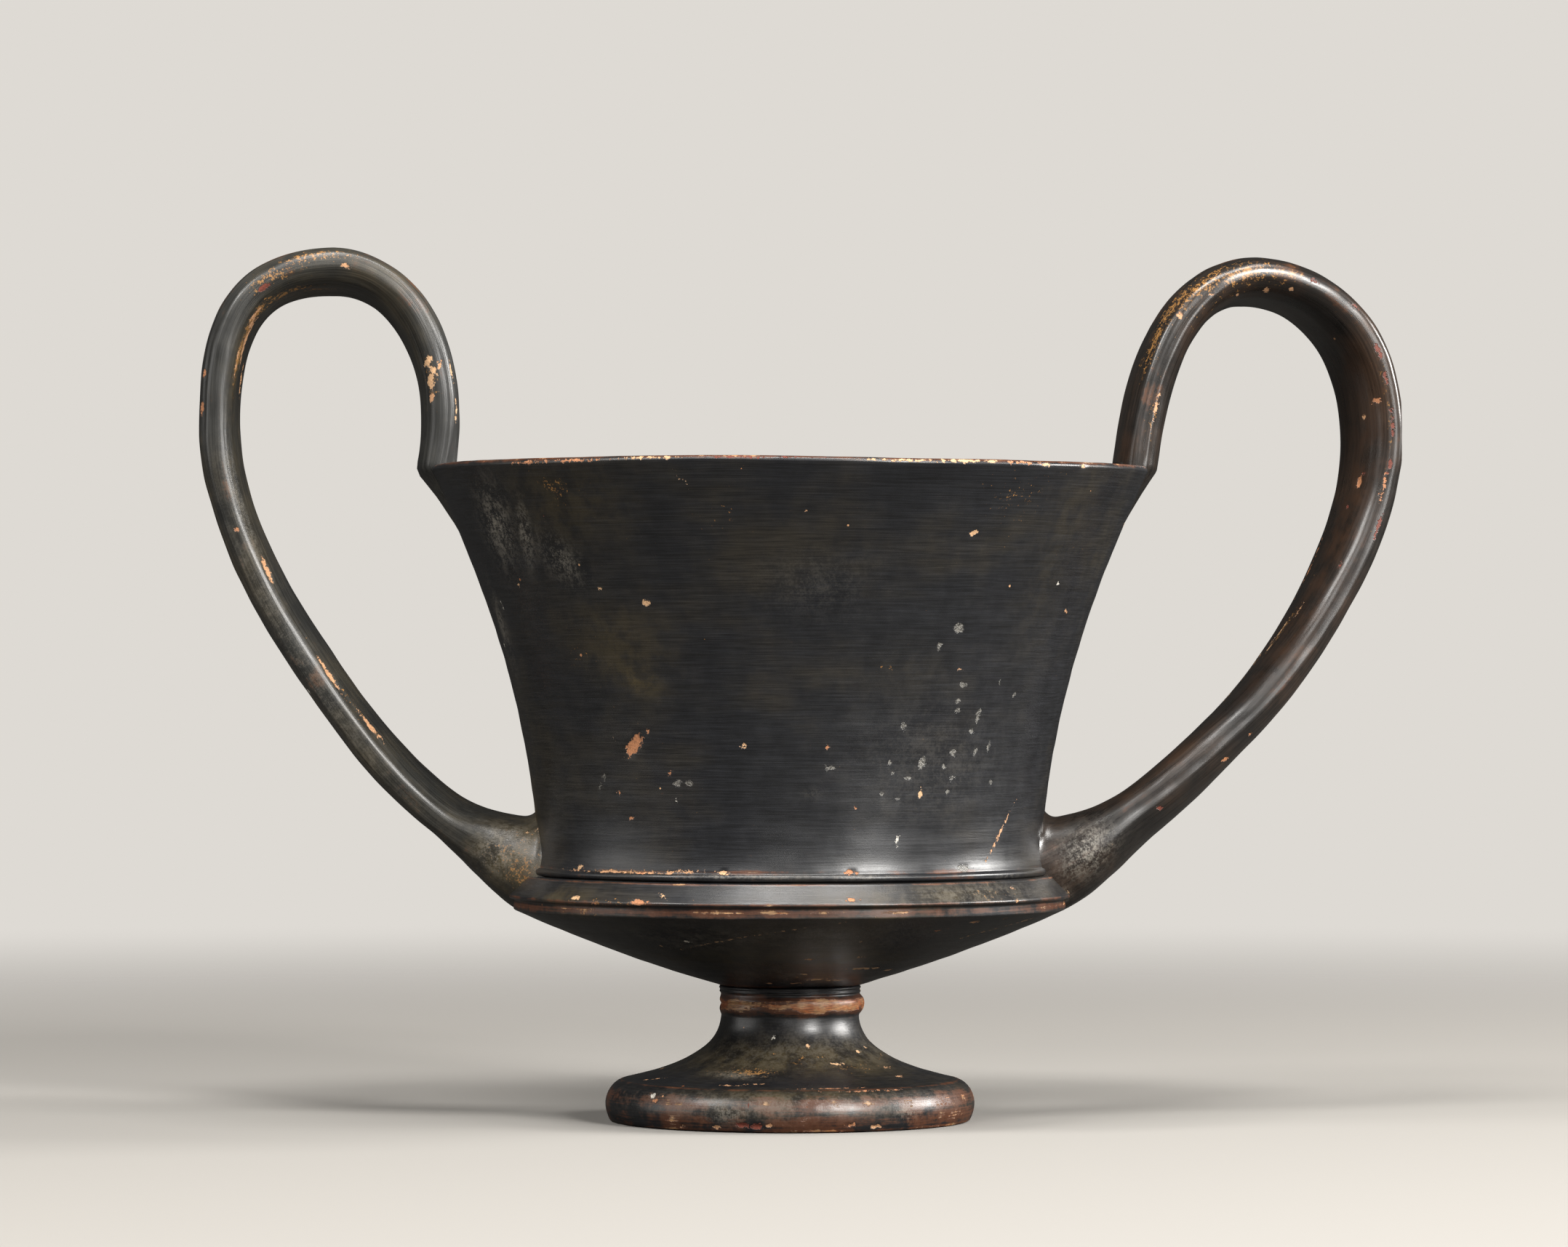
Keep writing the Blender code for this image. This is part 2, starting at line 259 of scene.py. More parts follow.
@dataclass
class Chart:
    """A closed surface as a grid: its points and where each lies round a ring and along the run.

    The ring angle is in radians and grows in the direction of the columns. The ring radius turns it
    into metres. Outside is true where the photograph's marks may sit.
    """

    points: np.ndarray
    ring: np.ndarray
    radius: np.ndarray
    run: np.ndarray
    outside: np.ndarray
    normals: np.ndarray = field(init=False)

    # How many points share in a pixel's place, and how far off they may be in the picture
    NEIGHBOURS = 4
    LIMIT_PX = 14.0

    def __post_init__(self) -> None:
        """Work out the normals of the grid."""
        self.normals = self.grid_normals()

    def grid_normals(self) -> np.ndarray:
        """Unit normals: the cross product of the steps round the ring and along the run.

        Returns:
            Array of one normal for each point.
        """
        round_step = np.roll(self.points, -1, axis=1) - np.roll(self.points, 1, axis=1)
        run_step = np.gradient(self.points, axis=0)
        normals = np.cross(round_step, run_step)
        return normals / np.maximum(np.linalg.norm(normals, axis=-1, keepdims=True), 1e-12)

    def lift(self, height: np.ndarray) -> None:
        """Move every point along its normal by a height in metres, then renew the normals.

        Nothing passes the solid's box: the table and the outermost edges stay where they are.

        Args:
            height: metres outwards for each point.
        """
        self.points = np.clip(self.points + self.normals * height[..., None], *np.array(CAD_BOX))
        self.normals = self.grid_normals()

    def find(self, sight: Sight, x: float, y: float) -> tuple[float, float, float] | None:
        """Place on the surface that the photograph shows at a pixel.

        The four nearest points that face the eye are weighted by the inverse square of their
        distance in the picture.

        Args:
            sight: the photograph's view.
            x: pixel across.
            y: pixel down.

        Returns:
            Ring angle, ring radius and run there, or None where the surface isn't near the pixel.
        """
        facing = ((sight.eye - self.points) * self.normals).sum(axis=-1) > 0.0
        gaps = np.linalg.norm(sight.project(self.points) - (x, y), axis=-1)
        gaps = np.where(facing & self.outside, gaps, np.inf)
        order = np.argpartition(gaps.ravel(), self.NEIGHBOURS)[:self.NEIGHBOURS]
        near = gaps.ravel()[order]
        if near.min() > self.LIMIT_PX:
            return None
        weights = 1.0 / (near ** 2 + 0.01)
        weights /= weights.sum()
        rings = self.ring.ravel()[order]
        ring = math.atan2((weights * np.sin(rings)).sum(), (weights * np.cos(rings)).sum())
        return ring, float(weights @ self.radius.ravel()[order]), float(weights @ self.run.ravel()[order])

    def reach(self, spot: tuple[float, float, float], length: float, width: float,
              lean: float) -> np.ndarray:
        """How far each point lies from a spot, in ellipse radii.

        The offsets round the ring and along the run are turned by the lean, and each is divided by
        half the ellipse's size. The reach is the root of the sum of their squares.

        Args:
            spot: ring angle, ring radius and run of the middle.
            length: full length in millimetres.
            width: full width in millimetres.
            lean: degrees from the ring's direction towards the run.

        Returns:
            Array that is 1 on the ellipse and 0 at its middle.
        """
        ring, radius, run = spot
        turn = (self.ring - ring + math.pi) % math.tau - math.pi
        across = turn * radius / MM
        along = (self.run - run) / MM
        c, s = math.cos(math.radians(lean)), math.sin(math.radians(lean))
        a = (across * c + along * s) / (length / 2)
        b = (along * c - across * s) / (width / 2)
        return np.hypot(a, b)


class Weather:
    """Reads the marks and stains on a chart and keeps them as fields of its points."""

    # Millimetres that stand for no mark near, and the tone of a point that has none
    FAR = 6.0
    NO_TONE = 0.5
    # Breadth over which a mark's floor sinks, and how much of that lies outside its edge
    SINK_MM = 0.5
    SINK_OUTSIDE = 0.3
    # How fast a stain thins out from its middle
    THINNING = 1.2
    # Smallest and largest of the seeded marks, and how likely each flaw is
    SPREAD_MM = (0.7, 1.9)
    CHANCES = {Flaw.PIT: 0.5, Flaw.FLECK: 0.35, Flaw.CHIP: 0.15}

    def __init__(self, chart: Chart, sight: Sight) -> None:
        """Start with an unmarked surface.

        Args:
            chart: the surface.
            sight: the photograph's view.
        """
        self.chart = chart
        self.sight = sight
        shape = chart.run.shape
        self.loss = np.full(shape, self.FAR)
        self.pit = np.full(shape, self.FAR)
        self.tone = np.full(shape, self.NO_TONE)
        self.depth = np.zeros(shape)
        self.stains = np.zeros(shape + (3,))

    def strike(self, mark: Mark, spot: tuple[float, float, float]) -> None:
        """Add one mark: its distance in millimetres, its tone, and the clay that it takes away.

        Args:
            mark: the damage.
            spot: its place on the chart.
        """
        away = (self.chart.reach(spot, mark.length, mark.width, mark.lean) - 1.0) * mark.width / 2
        target = self.pit if mark.flaw is Flaw.PIT else self.loss
        nearer = away < target
        if mark.flaw is not Flaw.PIT:
            self.tone[nearer] = mark.tone.value
        target[nearer] = away[nearer]
        sunk = smooth_step(-away / self.SINK_MM + self.SINK_OUTSIDE) * mark.flaw.value * MM
        self.depth = np.maximum(self.depth, sunk)

    def cloud(self, stain: Cloud, spot: tuple[float, float, float]) -> None:
        """Add one soft stain: strength times the bell curve of the reach.

        Args:
            stain: the stain.
            spot: its place on the chart.
        """
        reach = self.chart.reach(spot, stain.length, stain.width, stain.lean)
        channel = stain.stain.value
        value = stain.strength * np.exp(-reach ** 2 * self.THINNING)
        self.stains[..., channel] = np.maximum(self.stains[..., channel], value)

    def read(self, marks: tuple[Mark, ...], clouds: tuple[Cloud, ...]) -> None:
        """Place the photograph's marks and stains that this surface carries.

        Args:
            marks: its small damage.
            clouds: its soft stains.
        """
        finds = [(mark, self.strike) for mark in marks] + [(stain, self.cloud) for stain in clouds]
        for found, add in finds:
            spot = self.chart.find(self.sight, found.x, found.y)
            if spot is None:
                LOG.warning("mark at %s, %s is off the surface", found.x, found.y)
            else:
                add(found, spot)

    def scatter(self, count: int, seed: int, where: np.ndarray) -> None:
        """Small seeded damage for the sides that the photograph doesn't show.

        Args:
            count: number of marks.
            seed: number that fixes the draw.
            where: true for the points that may carry one.
        """
        rng = np.random.default_rng(seed)
        spots = rng.choice(np.flatnonzero(where.ravel()), size=count, replace=False)
        for index in spots:
            spot = (self.chart.ring.ravel()[index], self.chart.radius.ravel()[index],
                    self.chart.run.ravel()[index])
            size = rng.uniform(*self.SPREAD_MM)
            flaw = rng.choice(list(self.CHANCES), p=list(self.CHANCES.values()))
            tone = rng.choice([Tone.ORANGE, Tone.OCHRE, Tone.CREAM])
            mark = Mark(flaw, tone, 0.0, 0.0, size * rng.uniform(1.0, 1.9), size, rng.uniform(0.0, 180.0))
            self.strike(mark, spot)


def closed_mesh(name: str, chart: Chart, ends: tuple[np.ndarray, np.ndarray],
                fields: dict[str, np.ndarray]) -> bpy.types.Object:
    """Closed mesh of a chart: quads between the rings, and a fan at each end.

    Args:
        name: name of the piece.
        chart: its surface. Ring step crossed with run step points outwards.
        ends: middle point of the fan before the first ring, and of the one after the last.
        fields: values for each point of the grid, kept as attributes.

    Returns:
        The piece, at the origin.
    """
    rows, cols = chart.run.shape
    vertices = np.vstack([chart.points.reshape(-1, 3), ends[0], ends[1]])
    row, col = np.meshgrid(np.arange(rows - 1), np.arange(cols), indexing="ij")
    after = (col + 1) % cols
    quads = np.stack([row * cols + col, row * cols + after,
                      (row + 1) * cols + after, (row + 1) * cols + col], axis=-1).reshape(-1, 4)
    ring = np.arange(cols)
    step = (ring + 1) % cols
    first, last = rows * cols, rows * cols + 1
    top = (rows - 1) * cols
    fans = np.vstack([np.stack([np.full(cols, first), step, ring], axis=-1),
                      np.stack([np.full(cols, last), top + ring, top + step], axis=-1)])
    data = bpy.data.meshes.new(name)
    data.vertices.add(len(vertices))
    data.vertices.foreach_set("co", vertices.astype(np.float32).ravel())
    loops = np.concatenate([quads.ravel(), fans.ravel()])
    starts = np.concatenate([np.arange(len(quads)) * 4, len(quads) * 4 + np.arange(len(fans)) * 3])
    data.loops.add(len(loops))
    data.loops.foreach_set("vertex_index", loops.astype(np.int32))
    data.polygons.add(len(starts))
    data.polygons.foreach_set("loop_start", starts.astype(np.int32))
    data.update(calc_edges=True)
    for key, values in fields.items():
        flat = values.reshape(rows * cols, -1)
        width = flat.shape[1]
        full = np.vstack([flat, flat[:cols].mean(axis=0), flat[-cols:].mean(axis=0)])
        kind, slot = ("FLOAT_VECTOR", "vector") if width == 3 else ("FLOAT", "value")
        layer = data.attributes.new(key, kind, "POINT")
        layer.data.foreach_set(slot, full.astype(np.float32).ravel())
    data.validate()
    data.shade_smooth()
    made = bpy.data.objects.new(name, data)
    bpy.context.scene.collection.objects.link(made)
    return made


def linear_colour(code: str) -> tuple[float, float, float, float]:
    """Linear colour of an sRGB hex code such as #1c1d1f, opaque.

    Args:
        code: the hex code.

    Returns:
        Linear red, green, blue and alpha.
    """
    shares = [int(code[i:i + 2], 16) / 255.0 for i in (1, 3, 5)]
    curve = [c / 12.92 if c <= 0.04045 else ((c + 0.055) / 1.055) ** 2.4 for c in shares]
    return (*curve, 1.0)


def add_node(tree: bpy.types.NodeTree, kind: str, feeds: dict | None = None,
             **settings: object) -> bpy.types.Node:
    """Add one node with its settings and what feeds it.

    Args:
        tree: the material's or world's tree.
        kind: Blender's name of the node's type.
        feeds: input name or number to a value, a socket, or a node whose first output is used.
        settings: the node's own properties.

    Returns:
        The new node.
    """
    node = tree.nodes.new(kind)
    for name, value in settings.items():
        setattr(node, name, value)
    for key, value in (feeds or {}).items():
        if isinstance(key, int):
            socket = node.inputs[key]
        else:
            socket = next(s for s in node.inputs if s.name == key and s.enabled)
        if isinstance(value, bpy.types.Node):
            value = next(s for s in value.outputs if s.enabled)
        if isinstance(value, bpy.types.NodeSocket):
            tree.links.new(value, socket)
        else:
            socket.default_value = value
    return node


@dataclass(frozen=True)
class GlossSlip:
    """Attic black gloss: iron-rich clay slip, brushed on, burnished and fired in reducing smoke.

    It sinters to a dense near-black skin a few hundredths of a millimetre thick, with a satin shine
    that keeps the brush and the wheel. Where it is thin it turns brown, and where it is rubbed or
    chipped the orange clay shows. Sizes are real millimetres.
    """

    name: str
    cool: str = "#17181b"
    warm: str = "#1f1c17"
    thin: str = "#55321f"
    misfire: str = "#54482c"
    # Pale bloom, which also serves as painted highlight where a bloom cloud lies on a lit place
    bloom_and_highlight: str = "#8b857a"
    ochre: str = "#a27541"
    clay_red: str = "#70301d"
    clay: str = "#a85f33"
    clay_pale: str = "#d0a67c"
    clay_worn: str = "#c09468"
    lime: str = "#d8d2c6"
    pit: str = "#77746d"
    roughness: float = 0.28
    ior: float = 1.60
    # Size of a fine streak along each of the three directions of the lay
    streak_mm: tuple[float, float, float] = (22.0, 22.0, 0.50)
    # Shares of that size for the broad bands and for what single bristles leave
    band: tuple[float, float, float] = (1.6, 1.6, 4.0)
    hair: tuple[float, float, float] = (0.40, 0.40, 0.48)
    # Cells of the clouds, the mottle, the crumbs and the grain
    cloud_mm: float = 34.0
    mottle_mm: float = 5.5
    crumb_mm: float = 1.3
    grain_mm: float = 0.45
    # Relief of the streaks, of the grain and of the step at every loss. The real ones are a
    # hundredth of a millimetre or less, and these are as high as they need to be to show
    relief_mm: float = 0.016
    skin_mm: float = 0.011
    step_mm: float = 0.09
    # One tiny fleck may lie in each cell of this size, and this share of the cells has one
    speck_mm: float = 5.0
    speck_share: float = 0.12

    def dress(self) -> bpy.types.Material:
        """Lay the slip.

        Returns:
            A material that reads the attributes lay, flaws, stains and rubbed.
        """
        return SlipCoat(self).material


class SlipCoat:
    """One gloss slip laid as a material: noises, shares worked out from them, colour and surface."""

    def __init__(self, slip: GlossSlip) -> None:
        """Read the piece's attributes, then lay the coat step by step.

        Args:
            slip: the recipe.
        """
        self.slip = slip
        self.material = bpy.data.materials.new(slip.name)
        self.material.use_nodes = True
        self.tree = self.material.node_tree
        self.tree.nodes.clear()
        self.place = add_node(self.tree, "ShaderNodeTexCoord").outputs["Object"]
        reads = {key: add_node(self.tree, "ShaderNodeAttribute", attribute_name=key)
                 for key in ("lay", "flaws", "stains", "rubbed")}
        self.lay = reads["lay"].outputs["Vector"]
        self.rubbed = reads["rubbed"].outputs["Fac"]
        self.loss, self.pit, self.tone = add_node(
            self.tree, "ShaderNodeSeparateXYZ", {0: reads["flaws"].outputs["Vector"]}).outputs
        self.bloom_and_highlight, self.misfire, self.ochre = add_node(
            self.tree, "ShaderNodeSeparateXYZ", {0: reads["stains"].outputs["Vector"]}).outputs
        self.draw_noises()
        self.share = self.shares()
        self.scatter_specks()
        self.combine()
        surface = add_node(self.tree, "ShaderNodeBsdfPrincipled",
                           {"Base Color": self.colour(), "Roughness": self.shine(), "Metallic": 0.0,
                            "IOR": slip.ior, "Normal": self.relief()})
        add_node(self.tree, "ShaderNodeOutputMaterial", {"Surface": surface})

    def sum_of(self, start: object, *terms: tuple) -> object:
        """Weighted sum: the start, plus each value times its weight.

        Args:
            start: number, socket or node to start from.
            terms: pairs of a value and its weight.

        Returns:
            The last node of the sum.
        """
        for value, weight in terms:
            start = add_node(self.tree, "ShaderNodeMath", {0: value, 1: weight, 2: start},
                             operation="MULTIPLY_ADD")
        return start

    def draw_noises(self) -> None:
        """Noises that follow the lay of the brush and the wheel, and noises of the clay itself."""
        slip, streaks, spots = self.slip, [], []
        for shares, detail, rough in (((1.0, 1.0, 1.0), 4.0, 0.65), (slip.band, 3.0, 0.55),
                                      (slip.hair, 2.0, 0.60)):
            scale = tuple(per_mm(size * share) for size, share in zip(slip.streak_mm, shares))
            laid = add_node(self.tree, "ShaderNodeVectorMath", {0: self.lay, 1: scale},
                            operation="MULTIPLY")
            streaks.append(add_node(self.tree, "ShaderNodeTexNoise",
                                    {"Vector": laid, "Scale": 1.0, "Detail": detail, "Roughness": rough}))
        for cell, detail, rough in ((slip.cloud_mm, 4.0, 0.60), (slip.mottle_mm, 5.0, 0.62),
                                    (slip.crumb_mm, 3.0, 0.60), (slip.grain_mm, 2.0, 0.50)):
            spots.append(add_node(self.tree, "ShaderNodeTexNoise",
                                  {"Vector": self.place, "Scale": per_mm(cell), "Detail": detail,
                                   "Roughness": rough}))
        self.fine, self.broad, self.hair = streaks
        self.clouds, self.mottle, self.crumb, self.grain = spots

    def shares(self) -> dict[str, bpy.types.Node]:
        """Bring sums of the noises and the fields to shares.

        Each share goes from its least to its most while its value goes from the first level to the
        second, evenly or with a soft start and end.

        Returns:
            The shares by name.
        """
        even, soft = "LINEAR", "SMOOTHSTEP"
        rub = self.sum_of(self.rubbed, (self.mottle, 0.90), (self.fine, 0.70), (self.crumb, 0.35))
        ragged = self.sum_of(-1.65, (self.crumb, 2.40), (self.grain, 0.90))
        speckle = add_node(self.tree, "ShaderNodeMix", {"Factor": 0.45, "A": self.crumb, "B": self.grain})
        table = {
            # Bluish black turns to olive-brown black in clouds and bands
            "warm": (self.sum_of(0.0, (self.clouds, 0.72), (self.broad, 0.14), (self.mottle, 0.14)),
                     0.44, 0.68, 0.0, 1.0, soft),
            # Light and dark of the streaks, the bristles and the clouds
            "streaked": (self.fine, 0.30, 0.70, 0.80, 1.25, even),
            "bristled": (self.hair, 0.35, 0.65, 0.62, 1.50, even),
            "cloudy": (self.sum_of(self.clouds, (self.mottle, 0.35)), 0.52, 0.84, 0.75, 1.40, even),
            # Olive-brown where the smoke missed it
            "patchy": (self.mottle, 0.36, 0.64, 0.25, 1.0, soft),
            # Rubbed edges: first thin brown slip, then bare clay, paler and soiled in places
            "thin": (rub, 1.22, 1.52, 0.0, 0.85, soft),
            "bare": (rub, 1.58, 1.70, 0.0, 1.0, soft),
            "paler": (self.mottle, 0.40, 0.62, 0.0, 1.0, soft),
            "soiled": (self.hair, 0.36, 0.62, 0.40, 1.05, even),
            # White bloom of salts, which some clouds also lay as painted highlight, and ochre speckle where
            # clay shows through worn slip
            "dusty": (self.sum_of(speckle, (self.mottle, 0.50)), 0.66, 0.90, 0.0, 0.80, soft),
            "freckled": (self.sum_of(speckle, (self.ochre, 0.26)), 0.68, 0.78, 0.0, 0.85, soft),
            # Chips and flecks with ragged edges, and the tones of their clay
            "lost": (self.sum_of(ragged, (self.loss, 1.0)), 0.10, -0.12, 0.0, 1.0, soft),
            "browned": (self.tone, 0.02, 0.20, 0.0, 1.0, even),
            "sandy": (self.tone, 0.05, 0.72, 0.0, 1.0, even),
            "limed": (self.tone, 0.76, 1.0, 0.0, 1.0, even),
            "grained": (self.grain, 0.30, 0.70, 0.62, 1.15, even),
            # Grey pits: a pale crumbly floor with darker grains
            "pitted": (self.sum_of(ragged, (self.pit, 1.0)), 0.06, -0.10, 0.0, 1.0, soft),
            "gritty": (self.grain, 0.42, 0.60, 0.25, 1.0, even),
        }
        return {name: add_node(self.tree, "ShaderNodeMapRange",
                               {"Value": value, "From Min": low, "From Max": high, "To Min": least,
                                "To Max": most}, interpolation_type=shape)
                for name, (value, low, high, least, most, shape) in table.items()}

    def scatter_specks(self) -> None:
        """Tiny flecks all over: a few cells of a scatter hold a spot a third of a millimetre wide."""
        cells = add_node(self.tree, "ShaderNodeTexVoronoi",
                         {"Vector": self.place, "Scale": per_mm(self.slip.speck_mm)})
        chance, spread, self.lot = add_node(
            self.tree, "ShaderNodeSeparateColor", {0: cells.outputs["Color"]}).outputs
        size = self.sum_of(0.02, (spread, 0.07))
        self.share["spot"] = add_node(self.tree, "ShaderNodeMath", {0: cells.outputs["Distance"], 1: size},
                                      operation="LESS_THAN")
        self.share["chosen"] = add_node(self.tree, "ShaderNodeMath", {0: chance, 1: self.slip.speck_share},
                                        operation="LESS_THAN")

    def combine(self) -> None:
        """Shares that need two things at once, and where the slip is gone for any reason."""
        share = self.share
        for name, first, second in (("missed", share["patchy"], self.misfire),
                                    ("bloomed_and_highlit", share["dusty"], self.bloom_and_highlight),
                                    ("speck", share["spot"], share["chosen"]),
                                    ("pit", share["pitted"], share["gritty"])):
            share[name] = add_node(self.tree, "ShaderNodeMath", {0: first, 1: second},
                                   operation="MULTIPLY")
        gone = share["lost"]
        for name in ("bare", "pit", "speck"):
            gone = add_node(self.tree, "ShaderNodeMath", {0: gone, 1: share[name]}, operation="MAXIMUM")
        share["gone"] = gone

    def colour(self) -> bpy.types.Node:
        """Mix the tones of the slip and the clay, then lay them over one another.

        Returns:
            The colour of the coat with all its losses.
        """
        slip, share = self.slip, self.share
        tones = {"cool": linear_colour(slip.cool), "clay": linear_colour(slip.clay)}
        for name, factor, under, over, shades in (
                ("gloss", share["warm"], "cool", slip.warm, ("streaked", "bristled", "cloudy")),
                ("worn", share["paler"], "clay", slip.clay_worn, ("soiled",)),
                ("fleck", self.lot, "clay", slip.clay_pale, ())):
            tone = add_node(self.tree, "ShaderNodeMix", {"Factor": factor, "A": tones[under],
                                                         "B": linear_colour(over)}, data_type="RGBA")
            for shade in shades:
                tone = add_node(self.tree, "ShaderNodeVectorMath", {0: tone, "Scale": share[shade]},
                                operation="SCALE")
            tones[name] = tone
        clay = linear_colour(slip.clay_red)
        sandy = add_node(self.tree, "ShaderNodeMix", {"Factor": share["sandy"], "A": tones["clay"],
                                                      "B": linear_colour(slip.clay_pale)}, data_type="RGBA")
        for factor, over in (("browned", sandy), ("limed", linear_colour(slip.lime))):
            clay = add_node(self.tree, "ShaderNodeMix", {"Factor": share[factor], "A": clay, "B": over},
                            data_type="RGBA")
        clay = add_node(self.tree, "ShaderNodeVectorMath", {0: clay, "Scale": share["grained"]},
                        operation="SCALE")
        # The pale bloom layer is salt bloom in some clouds and painted highlight in others
        coat = tones["gloss"]
        for factor, over in (("missed", linear_colour(slip.misfire)), ("thin", linear_colour(slip.thin)),
                             ("bare", tones["worn"]), ("bloomed_and_highlit", linear_colour(slip.bloom_and_highlight)),
                             ("freckled", linear_colour(slip.ochre)), ("speck", tones["fleck"]),
                             ("lost", clay), ("pit", linear_colour(slip.pit))):
            coat = add_node(self.tree, "ShaderNodeMix", {"Factor": share[factor], "A": coat, "B": over},
                            data_type="RGBA")
        return coat

    def shine(self) -> bpy.types.Node:
        """Roughness: satin, streaked, duller where dusty, dull on bare clay.

        Returns:
            The roughness.
        """
        share = self.share
        return self.sum_of(self.slip.roughness - 0.10, (self.fine, 0.20), (self.mottle, 0.16),
                           (share["bloomed_and_highlit"], 0.25), (share["thin"], 0.02), (share["gone"], 0.05),
                           (share["lost"], 0.32))

    def relief(self) -> bpy.types.Node:
        """Relief: streaks, then grain, crusty under bloom, then a step down at every loss of slip.

        Returns:
            The bumped normal.
        """
        crusty = add_node(self.tree, "ShaderNodeMath",
                          {0: self.grain, 1: self.sum_of(1.0, (self.bloom_and_highlight, 3.0))}, operation="MULTIPLY")
        normal = None
        for height, size_mm, sunk in (
                (self.sum_of(self.fine, (self.broad, 0.8), (self.hair, 0.8)), self.slip.relief_mm, False),
                (self.sum_of(crusty, (self.mottle, 1.1)), self.slip.skin_mm, False),
                (self.share["gone"], self.slip.step_mm, True)):
            feeds = {"Strength": 1.0, "Distance": size_mm * MM, "Height": height}
            if normal is not None:
                feeds["Normal"] = normal
            normal = add_node(self.tree, "ShaderNodeBump", feeds, invert=sunk)
        return normal


WHEEL_SLIP = GlossSlip(name="black_gloss_slip_wheel_brushed")
# The left strap's slip is lighter grey than the others: partly its own greyer tone and partly painted
# sheen, the broad soft grey sheen of the lights laid into its base colour
STRAP_SLIP = GlossSlip(name="black_gloss_slip_strap_wiped", cool="#282826", warm="#353026", thin="#54341f",
                       streak_mm=(38.0, 0.7, 0.7), hair=(0.4, 0.45, 0.45), roughness=0.30,
                       relief_mm=0.045, speck_share=0.16)
BROWN_SLIP = GlossSlip(name="black_gloss_slip_strap_thin", cool="#1d1b19", warm="#2b2018", thin="#54341f",
                       misfire="#3b281b", streak_mm=(38.0, 0.7, 0.7), hair=(0.4, 0.45, 0.45),
                       roughness=0.22, speck_share=0.16)


@dataclass(frozen=True)
class CupSizes:
    """Sizes of the turned body in metres, from the table up, as the solid has them."""

    foot_radius: float = 0.0466
    foot_edge_height: float = 0.0101
    foot_edge_inset: float = 0.0012
    rest_width: float = 0.0070
    hollow_height: float = 0.0200
    hollow_top_radius: float = 0.0050
    stem_radius: float = 0.0174
    stem_height: float = 0.0164
    stem_spread: float = 0.0076
    ring_proud: float = 0.0014
    ring_height: float = 0.0064
    neck_radius: float = 0.0176
    neck_height: float = 0.0012
    underside_rise: float = 0.0193
    underside_bulge: float = 0.0010
    edge_radius: float = 0.0711
    fascia_height: float = 0.0028
    fascia_inset: float = 0.0013
    band_height: float = 0.0052
    groove_height: float = 0.0014
    bead_height: float = 0.0016
    waist_radius: float = 0.0637
    wall_height: float = 0.1006
    rim_radius: float = 0.0911
    flare_power: float = 1.80
    wall_at_waist: float = 0.0038
    wall_at_lip: float = 0.0025
    floor_thickness: float = 0.0050
    bowl_corner: float = 0.0100
    # Finer turned shapes than the solid has. The wall springs from the bead in a soft inner curve
    spring_proud: float = 0.0011
    spring_height: float = 0.0036
    bead_bulge: float = 0.00095
    bead_centre_radius: float = 0.0648
    bead_lift: float = 0.00025
    seam_radius: float = 0.0653
    ridge_radius: float = 0.0673
    roll_bulge: float = 0.00065
    foot_crease_radius: float = 0.0426
    foot_belly_height: float = 0.0042
    ring_belly_height: float = 0.0030
    neck_fillet: float = 0.00035

    @property
    def ring_base_z(self) -> float:
        """Height of the lower side of the stem's ring."""
        return self.foot_edge_height + self.stem_height

    @property
    def ring_top_z(self) -> float:
        """Height of the upper side of the stem's ring."""
        return self.ring_base_z + self.ring_height

    @property
    def neck_top_z(self) -> float:
        """Height of the crease between the neck and the underside."""
        return self.ring_top_z + self.neck_height

    @property
    def underside_top_z(self) -> float:
        """Height of the lower side of the fascia."""
        return self.neck_top_z + self.underside_rise

    @property
    def edge_z(self) -> float:
        """Height of the sharp edge."""
        return self.underside_top_z + self.fascia_height

    @property
    def band_top_z(self) -> float:
        """Height of the upper side of the sloping band."""
        return self.edge_z + self.band_height

    @property
    def bead_base_z(self) -> float:
        """Height of the upper side of the groove."""
        return self.band_top_z + self.groove_height

    @property
    def waist_z(self) -> float:
        """Height of the foot of the wall."""
        return self.bead_base_z + self.bead_height

    @property
    def rim_z(self) -> float:
        """Height of the lip."""
        return self.waist_z + self.wall_height

    @property
    def bead_centre_z(self) -> float:
        """Height of the middle of the bead's round section."""
        return self.bead_base_z + self.bead_lift

    def wall_share(self, z: np.ndarray) -> np.ndarray:
        """Share of the wall's height, 0 at the waist and 1 at the rim."""
        return np.clip((np.asarray(z) - self.waist_z) / self.wall_height, 0.0, 1.0)

    def wall_radius(self, z: np.ndarray) -> np.ndarray:
        """Outer radius of the wall: the waist, plus the flare times a power of the height's share."""
        flare = (self.rim_radius - self.waist_radius) * self.wall_share(z) ** self.flare_power
        return self.waist_radius + flare

    def wall_thickness(self, z: np.ndarray) -> np.ndarray:
        """Thickness of the wall, thinning evenly from the waist to the lip."""
        return self.wall_at_waist + (self.wall_at_lip - self.wall_at_waist) * self.wall_share(z)

    def spring(self, z: np.ndarray) -> np.ndarray:
        """Outward ease at the foot of the wall: its proud size times a falling exponential."""
        rise = np.maximum(np.asarray(z) - self.waist_z, 0.0)
        return self.spring_proud * np.exp(-rise / self.spring_height)


@dataclass(frozen=True)
class Stroke:
    """Part of a profile: its points, its worth in rows, and whether the photograph can see it."""

    points: np.ndarray
    worth: float = 1.0
    outside: bool = True


@dataclass(frozen=True)
class Rub:
    """A line round the cup that hands and shelves have rubbed, by its place on the profile."""

    radius: float
    height: float
    reach_mm: float
    strength: float


